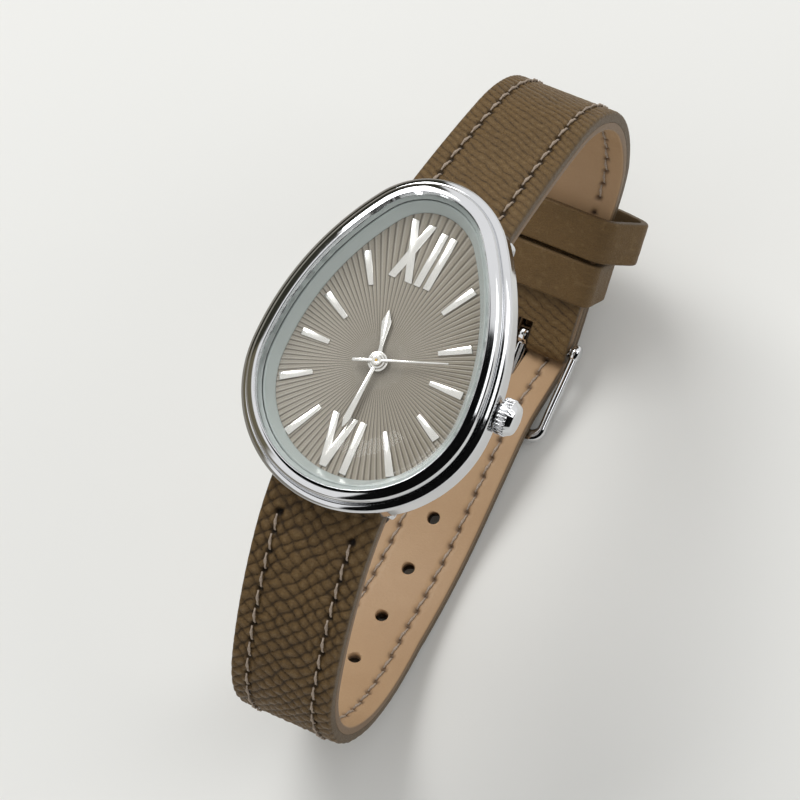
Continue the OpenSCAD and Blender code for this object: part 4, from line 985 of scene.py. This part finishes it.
FREE_HOLES, HOLE_PITCH, HOLE_W, SLOT_L, SLOT_W = 6, 6.4, 1.4, 4.66, 1.5
used = long_half.length - TAIL - OVER_R * math.radians(53) - 2.56
punches = [punch(long_half, used, SLOT_L, SLOT_W)]
punches += [punch(long_half, used - k * HOLE_PITCH, 0, HOLE_W) for k in range(1, FREE_HOLES + 1)]
for piece in (long_outer, long_lining):
    cut(piece, joined("punches", punches))


def buckle_place(points):
    """From the buckle's bar (x, up the short half, into the loop) to the dial's frame."""
    x, up_strap, inside = np.moveaxis(np.asarray(points, float), -1, 0)
    y = BAR[0] + up_strap * math.cos(SLOPE) - inside * math.sin(SLOPE)
    z = BAR[1] + up_strap * math.sin(SLOPE) + inside * math.cos(SLOPE)
    return np.stack([x, y, z], axis=-1)


def slot_cutter():
    """A box round the tongue's root, in the buckle's own directions."""
    return box_piece("slot", (-0.8, -3, -3), (0.8, 2, 3), buckle_place)


for piece in (short_outer, short_lining):
    cut(piece, slot_cutter())
print("holes:", len(punches), "long leather faces:", len(long_outer.data.polygons))

# %% [markdown]
# ## Lining finish
# The lining is smooth tan leather: faint clouds and tiny pores, with a darker rim where its edge
# was cut.

# %% Lining and its finish
inside = Finish("lining_tan", Base_Color=shade(176, 146, 112), Roughness=0.5, Specular_IOR_Level=0.3)
cloud = inside.noise(inside.place(), 0.18, 3)
pores = inside.noise(inside.place(), 5, 3)
tone = inside.mix(cloud, shade(182, 152, 118), shade(168, 136, 102))
tone = inside.mix(inside.sum(pores, 0.16, "MULTIPLY"), tone, shade(122, 92, 62))
tone = inside.mix(inside.ramp(inside.mark("rim"), (0.3, 0.0), (0.8, 0.9)), tone, shade(108, 86, 62))
# Painted shade: the needle pits in the lining are darkened.
tone = inside.mix(inside.mark("pit"), tone, shade(70, 52, 38))
inside.feed("Base Color", tone)
inside.feed("Roughness", inside.ramp(pores, (0.3, 0.42), (0.8, 0.58)))
inside.bump(pores, 0.02)
finishes["lining_tan"] = inside.material
for piece, node in ((long_outer, "strap_long_leather"), (short_outer, "strap_short_leather")):
    settle(piece, "watch", "strap_grain", leather, node)
for piece, node in ((long_lining, "strap_long_lining"), (short_lining, "strap_short_lining")):
    settle(piece, "watch", "lining_tan", inside.material, node)
print("lining faces:", len(long_lining.data.polygons))

# %% [markdown]
# ## Rolls at the lugs and the fold at the buckle
# At the case each half turns round a spring bar, out of sight. At the buckle the short half's leather
# turns round the bar and lies back along the inside. Each is a thinner layer on its own route.

# %% Rolls and fold


def roll(name, bar, start, sweep):
    """Part of a ring round a lug's bar: a rounded section carried from one angle through a sweep."""
    phi = np.radians(start + np.linspace(0, sweep, 40))[:, None]
    across = np.linspace(-5.85, 5.85, 12)
    x = np.concatenate([across, np.full(4, 6.0), -across, np.full(4, -6.0)])
    r = np.concatenate([np.full(12, 1.36), [1.3, 1.2, 0.95, 0.85], np.full(12, 0.8),
                        [0.85, 0.95, 1.2, 1.3]])[None]
    y, z = bar[0] + r * np.cos(phi), bar[1] + r * np.sin(phi)
    return skin(name, np.stack([np.broadcast_to(x, y.shape), y, z], axis=-1))


roll_six = roll("lug_roll_six", BAR_SIX, 94, -250)
roll_twelve = roll("lug_roll_twelve", BAR_TWELVE, 59, 250)
# The rolls carry no cell mark, so the leather finish gives them its painted groove shade nearly all
# over.
for piece in (roll_six, roll_twelve):
    settle(piece, "watch", "strap_grain", leather)

end_place = short_half.path[-1]
fold_route = Route(end_place[:2], math.degrees(end_place[2]),
                   [(math.pi * FOLD_R, -180), (10.3, 0)], -1)
fold_s = np.append(np.arange(0.0, fold_route.length, 0.16), fold_route.length)


def fold_width(s):
    """Half width 5.25, with rounded corners over the last 1.2 mm."""
    left = np.clip((fold_route.length - s) / 1.2, 0, 1)
    return 5.25 - 1.2 * (1 - np.sqrt(1 - (1 - left) ** 2))


fold = layer("fold_leather", fold_route, fold_width, fold_s, section(0.3, 0.08, 0.0, 0.86, 60),
             short_grain, 0.06)
cut(fold, slot_cutter())
settle(fold, "watch", "strap_grain", leather, "strap_fold")
print("fold is", round(fold_route.length, 2), "mm long")

# %% [markdown]
# ## Stitches
# Both halves are sewn along both edges with a thread of two twisted plies. A stitch leaves one needle
# hole, lies a little askew and dives into the next. It is a small tube whose radius bulges twice per
# turn along a spiral; hundreds of them are worked out at once and share one mesh.

# %% Thread
thread = Finish("pale_thread", Base_Color=shade(168, 150, 132), Roughness=0.7)
fuzz = thread.noise(thread.place(), 6, 3)
thread.feed("Base Color", thread.mix(fuzz, shade(196, 180, 162), shade(104, 86, 70)))
thread.feed("Roughness", thread.ramp(fuzz, (0.2, 0.6), (0.8, 0.8)))
thread.bump(fuzz, 0.05)


def stitches(route, width, starts, face, rise=0.29, radius=0.13, lean=0.26):
    """Tubes: centre at start + pitch * t along the row, height rise * sin(pi t), spiral radius.
    Face is 0 on the outer leather and 1 on the lining."""
    t = np.linspace(0.02, 0.98, 10)
    phi = full_turn(7)
    s = starts[:, None] + 0.2 + (PITCH - 0.4) * t
    grids = []
    for hand in (-1, 1):
        lane = hand * (width(s) - ROW_IN) + lean * (t - 0.5)[None]
        sink = 0.2 - rise * np.sin(np.pi * t) ** 0.6
        plies = 1 + 0.3 * np.cos(2 * phi[None] - 12 * t[:, None])
        thick = radius * (0.45 + 0.55 * np.sin(np.pi * t) ** 0.4)[:, None] * plies
        spot, inward, _ = route.at(s)
        out = -inward if face == 0 else inward
        base = spot + (face * STRAP_T) * inward - sink[None, :, None] * out
        x = lane[..., None] + thick[None] * np.cos(phi)
        flat = base[:, :, None, :] + (thick * np.sin(phi))[None, ..., None] * out[:, :, None, :]
        grids.append(np.concatenate([x[..., None], flat], axis=-1))
    return list(np.concatenate(grids))


long_thread = stitches(long_half, long_width, long_rows[:-1], 0)
short_thread = stitches(short_half, short_width, short_rows[:-1], 0)
inner_thread = (stitches(long_half, long_width, long_rows[:-1], 1, 0.2)
                + stitches(short_half, short_width, short_rows[:-8], 1, 0.2))
settle(joined("strap_stitches", long_thread + short_thread), "watch", "strap_grain",
       thread.material)
settle(joined("lining_stitches", inner_thread), "watch", "lining_tan", thread.material)
print("stitches:", len(long_thread) + len(short_thread))

# %% [markdown]
# ## Keepers
# Two leather loops hold the tail. Each is a band whose section, a flat bar with soft edges, is carried
# round a closed outline with rounded corners. The free one slides along the strap.

# %% Keepers


def rounded(corners, reach, steps=6):
    """Closed outline whose corners become curves: (1-t)^2 a + 2t(1-t) p + t^2 b, spread evenly."""
    p = np.asarray(corners, float)
    to_last, to_next = np.roll(p, 1, axis=0) - p, np.roll(p, -1, axis=0) - p
    a, b = (p + v / np.hypot(*v.T)[:, None] * np.minimum(reach, np.hypot(*v.T) * 0.45)[:, None]
            for v in (to_last, to_next))
    t = np.linspace(0, 1, steps)[:, None, None]
    return ((1 - t) ** 2 * a + 2 * t * (1 - t) * p + t ** 2 * b).transpose(1, 0, 2).reshape(-1, 2)


def evenly(outline, count):
    """The closed outline again, as count points that are equally far apart."""
    ring = np.vstack([outline, outline[:1]])
    s = np.concatenate([[0], np.cumsum(np.hypot(*np.diff(ring, axis=0).T))])
    at = np.linspace(0, s[-1], count, endpoint=False)
    return np.stack([np.interp(at, s, column) for column in ring.T], axis=1), at


def keeper(name, corners, reach, low, thick=0.9, grain_depth=0.07):
    """Band: the outline pushed outwards by its section's depth, from low on up the strap."""
    outline, run = evenly(rounded(corners, reach), 260)
    outward = -left_of(np.roll(outline, -1, axis=0) - np.roll(outline, 1, axis=0))
    outward = outward * np.sign(signed_area(outline))
    mid, half = low + KEEPER_W / 2, KEEPER_W / 2
    shape = section(0.32, 0.12, thick, 0.0, 40)
    a, b, depth, seen = (column[None] for column in shape.T)
    up_strap = mid + a * half + b
    around, along = np.broadcast_arrays(run[:, None], up_strap)
    height = 1 - 0.5 * rough_noise(around, along, 0.45, 17)
    push = depth - grain_depth * (1 - height) * seen
    flat = outline[:, None] + push[..., None] * outward[:, None]
    grid = np.stack([flat[..., 0], np.broadcast_to(up_strap, flat.shape[:2]), flat[..., 1]], axis=-1)
    # The cell mark carries the noise height to the leather finish, which paints shade on the low parts
    # and a highlight on the high ones.
    return skin(name, buckle_place(grid), round_rows=True,
                marks={"cell": height, "pit": 0 * height, "rim": 1 - seen + 0 * height})


KEEPER_W, KEEPER_AT = 4.7, 5.6
side, top_in, top_out = 5.25 + 0.1, FOLD_R + 0.1, -OVER_R - 0.1
fixed = keeper("fixed_keeper_band", [(-side, top_in), (side, top_in), (side, top_out),
                                     (-side, top_out)], 0.5, KEEPER_AT)
side, top_in, top_out = 5.25 + 0.35, FOLD_R + 0.02, -OVER_R - 0.3
FREE_AT = KEEPER_AT + KEEPER_W + 0.4
free = keeper("free_keeper_band", [(-side, top_in), (side, top_in), (side + 2.4, top_out + 0.9),
                                   (side - 0.2, top_out), (0, top_out - 0.7),
                                   (-side + 0.8, top_out - 0.3), (-side, top_out + 0.6)],
              0.9, FREE_AT)
settle(fixed, "watch", "strap_grain", leather, "fixed_keeper")
settle(free, "keeper_slider", "strap_grain", leather, "free_keeper")
print("keepers at", KEEPER_AT, "and", round(FREE_AT, 2), "mm from the bar")

# %% [markdown]
# ## Buckle
# The frame is one bent rod: an oval section carried along a rounded U, with a barrel at each end where
# it turns on the spring bar. The tongue is a flat rod with a rounded tip and an eye round the bar.

# %% Buckle
CROSS = np.array([3.844, -43.4435])
ARM_X, BEND = 6.0, 1.15


def buckle_loop():
    """Rows of the U: x from arm to arm, with quarter turns at both corners of the frame."""
    length = np.hypot(*(CROSS - BAR))
    arm = np.column_stack([np.full(40, ARM_X), np.linspace(0, 1, 40) * (length - BEND)])
    q = np.linspace(0, np.pi / 2, 12)
    corner = np.column_stack([ARM_X - BEND + BEND * np.cos(q), length - BEND + BEND * np.sin(q)])
    bar = np.column_stack([np.linspace(ARM_X - BEND, 0, 14), np.full(14, length)])
    halfway = np.vstack([arm, corner[1:], bar[1:]])
    return np.vstack([halfway, (halfway * [-1, 1])[::-1][1:]]), (CROSS - BAR) / length


def squared(sides, power):
    """Cosine and sine of a full turn, each to a power, which squares the circle off."""
    a = full_turn(sides)
    return (np.sign(wave) * np.abs(wave) ** power for wave in (np.cos(a), np.sin(a)))


def swept(path, unit, wide, high):
    """Section of half sizes wide, in the frame's plane, and high, square to it, along the path."""
    across = left_of(np.gradient(path, axis=0))
    u, v = squared(24, 0.8)
    flat = path[:, None] + (wide[..., None] * u)[..., None] * across[:, None]
    normal = np.array([-unit[1], unit[0]])
    yz = BAR + flat[..., 1:2] * unit + (high[..., None] * v)[..., None] * normal
    return np.concatenate([flat[..., :1], yz], axis=-1)


loop_path, frame_way = buckle_loop()
distance = loop_path[:, 1]
frame_high = 0.62 + 0.1 * np.clip(distance / 10, 0, 1)
frame_wide = 0.46 + 0.24 * np.clip((distance - 8.6) / 1.3, 0, 1)
rod_grid = swept(loop_path, frame_way, frame_wide, frame_high)


def barrel(x, radius=1.0, half=0.56):
    """A short rounded drum on the bar's axis."""
    t = np.radians(np.linspace(-82, 82, 15))
    return circles(x + half * np.sin(t), radius * np.cos(t) ** 0.45, BAR)


buckle = joined("buckle_frame_rod", [rod_grid, barrel(ARM_X), barrel(-ARM_X)])
settle(buckle, "buckle", "polished_steel", polished, "buckle_frame")


def tongue_grid():
    """A bent flat rod: middle line through the knee to the tip, half height falling towards the tip."""
    line_points = curve_through([BAR + [-0.75, -0.16], BAR + [-3.0, -0.64], [7.754, -44.87],
                                 [5.9, -44.55], [4.244, -44.19], [2.744, -44.07]], 7)
    normal = left_of(np.gradient(line_points, axis=0))
    k = np.linspace(0, 1, len(line_points))
    high = np.interp(k, [0, 0.55, 0.9, 1], [0.38, 0.38, 0.24, 0.1])
    wide = np.interp(k, [0, 0.85, 0.97, 1], [0.6, 0.56, 0.42, 0.2])
    u, v = squared(20, 0.75)
    yz = line_points[:, None] + (high[:, None] * v)[..., None] * normal[:, None]
    return np.concatenate([(wide[:, None] * u)[..., None], yz], axis=-1)


eye_x = np.array([-0.6, -0.5, 0.5, 0.6, 0.6, 0.5, -0.5, -0.6])
eye_r = np.array([0.95, 1.05, 1.05, 0.95, 0.72, 0.64, 0.64, 0.72])
tongue = joined("buckle_tongue_rod", [tongue_grid()], [circles(eye_x, eye_r, BAR)])
settle(tongue, "tongue", "polished_steel", polished, "buckle_tongue")
pin_x = np.array([-6.45, -6.4, -5.55, -5.5, -5.2, -5.15, 5.15, 5.2, 5.5, 5.55, 6.4, 6.45])
pin_r = np.array([0.2, 0.3, 0.3, 0.3, 0.3, 0.58, 0.58, 0.3, 0.3, 0.3, 0.3, 0.2])
pin = skin("buckle_pin", circles(pin_x, pin_r, BAR, 32))
settle(pin, "watch", "polished_steel", polished, "buckle_spring_bar")
print("buckle frame faces:", len(buckle.data.polygons))

# %% [markdown]
# ## The works get their finishes
# Each measured solid that still shows, or would show if the case were opened, takes the finish of its
# slot.

# %% Carried-over nodes
for row in frame["record"]["subparts"]:
    node = frame["nodes"][row["node"]]
    node.data.materials.clear()
    node.data.materials.append(finishes[row["material_slot"]])

# %% [markdown]
# ## Table and light
# A wide pale table, a large soft lamp from the upper left, a weak one from the right and an even
# surrounding light. For reflections the surroundings are a plain room: pale, with a dark front, two
# dark spots above and two dim places on the left, which give polished metal its dark bands.

# %% Table, lamps and room
floor = bpy.data.meshes.new("table")
floor.from_pydata([(-3, -3, 0), (3, -3, 0), (3, 3, 0), (-3, 3, 0)], [], [(0, 1, 2, 3)])
table = bpy.data.objects.new("table", floor)
bpy.context.scene.collection.objects.link(table)
top = Finish("pale_table", Base_Color=shade(232, 232, 228), Roughness=0.75)
pale = top.mix(top.noise(top.place((8, 8, 8)), 1.0, 2), shade(233, 233, 229), shade(228, 228, 224))
# Painted reflection: to glossy rays only, the left part of the table turns dark brown, so polished
# metal shows a dark band there. Camera rays and all other rays see the table pale.
leftwards = top.node("ShaderNodeSeparateXYZ", "X", [("Vector", top.place((-10, 10, 10)))])
painted_reflection_mask = top.sum(top.node("ShaderNodeLightPath", "Is Glossy Ray"),
                   top.ramp(leftwards, (0.15, 0.0), (0.5, 0.8)), "MULTIPLY")
top.feed("Base Color", top.mix(painted_reflection_mask, pale, shade(96, 84, 62)))
floor.materials.append(top.material)


def lamp(name, place, aim, size, power):
    """A square soft lamp at a place in metres that shines at an aim point."""
    light = bpy.data.lights.new(name, "AREA")
    light.size, light.energy = size, power
    holder = bpy.data.objects.new(name, light)
    turn = (Vector(aim) - Vector(place)).to_track_quat("-Z", "Y")
    holder.matrix_world = Matrix.Translation(Vector(place)) @ turn.to_matrix().to_4x4()
    bpy.context.scene.collection.objects.link(holder)


lamp("key", (-0.35, 0.25, 0.55), (0, 0, 0.03), 0.35, 2.4)
lamp("fill", (0.45, 0.15, 0.4), (0, 0, 0.03), 0.3, 0.5)

world = bpy.data.worlds.new("room")
bpy.context.scene.world = world
world.use_nodes = True
net = world.node_tree
net.nodes.clear()


def world_node(kind, *entries, out=0, **settings):
    """One node of the room with its entries, (key, value or socket); gives one of its outputs."""
    made = net.nodes.new(kind)
    for key, value in settings.items():
        setattr(made, key, value)
    for key, value in entries:
        put(value, made.inputs[key])
    return None if out is None else made.outputs[out]


def near_to(way, direction, radius, edge):
    """1 where a ray's way is within radius degrees of a direction, over a soft edge in degrees."""
    cosine = world_node("ShaderNodeVectorMath", (0, way), (1, direction), out="Value",
                        operation="DOT_PRODUCT")
    return between(cosine, math.cos(math.radians(radius + edge)), math.cos(math.radians(radius)))


def towards(heading, half, edge):
    """1 where a ray's compass heading is within half degrees of the given one, over a soft edge."""
    turn = math.radians(heading)
    return near_to(level, (math.cos(turn), math.sin(turn), 0), half, edge)


def between(value, low, high):
    """0 below low and 1 above high, with a smooth step 3t^2 - 2t^3 between them."""
    return world_node("ShaderNodeMapRange", ("Value", value), ("From Min", low), ("From Max", high),
                      interpolation_type="SMOOTHSTEP")


def combine(operation, one, two):
    return world_node("ShaderNodeMath", (0, one), (1, two), operation=operation)


def over(factor, under, colour):
    """The colour laid over what is under it, by a factor from 0 to 1."""
    return world_node("ShaderNodeMix", (0, factor), (6, under), (7, colour), out=2, data_type="RGBA")


ray_way = world_node("ShaderNodeTexCoord", out="Generated")
kinds = net.nodes.new("ShaderNodeLightPath").outputs
height = world_node("ShaderNodeSeparateXYZ", (0, ray_way), out="Z")
flat_way = world_node("ShaderNodeVectorMath", (0, ray_way), (1, (1, 1, 0)), operation="MULTIPLY")
level = world_node("ShaderNodeVectorMath", (0, flat_way), operation="NORMALIZE")
front = towards(-36, 56, 4)
overhead, behind = (near_to(ray_way, tuple(Vector(aim).normalized()), radius, 2)
                    for aim, radius in (((0.05, -0.3, 0.954), 19.5), ((-0.3, -0.44, 0.85), 13.5)))
wall_side = combine("MULTIPLY", towards(186, 34, 8), between(height, 0.64, 0.56))
corner = combine("MULTIPLY", towards(148, 32, 6), between(height, 0.74, 0.7))
room_light = over(wall_side, (0.95, 0.95, 0.95, 1), (0.16, 0.14, 0.09, 1))
room_light = over(corner, room_light, (0.035, 0.034, 0.024, 1))
for dark in (front, overhead, behind):
    room_light = over(dark, room_light, (0.003, 0.003, 0.003, 1))
mirror_light = over(kinds["Is Glossy Ray"], (0.6, 0.6, 0.605, 1), room_light)
seen_plain = combine("MAXIMUM", kinds["Is Camera Ray"], kinds["Is Transmission Ray"])
backdrop = world_node("ShaderNodeBackground",
                      ("Color", over(seen_plain, mirror_light, shade(233, 233, 230))))
world_node("ShaderNodeOutputWorld", ("Surface", backdrop), out=None)
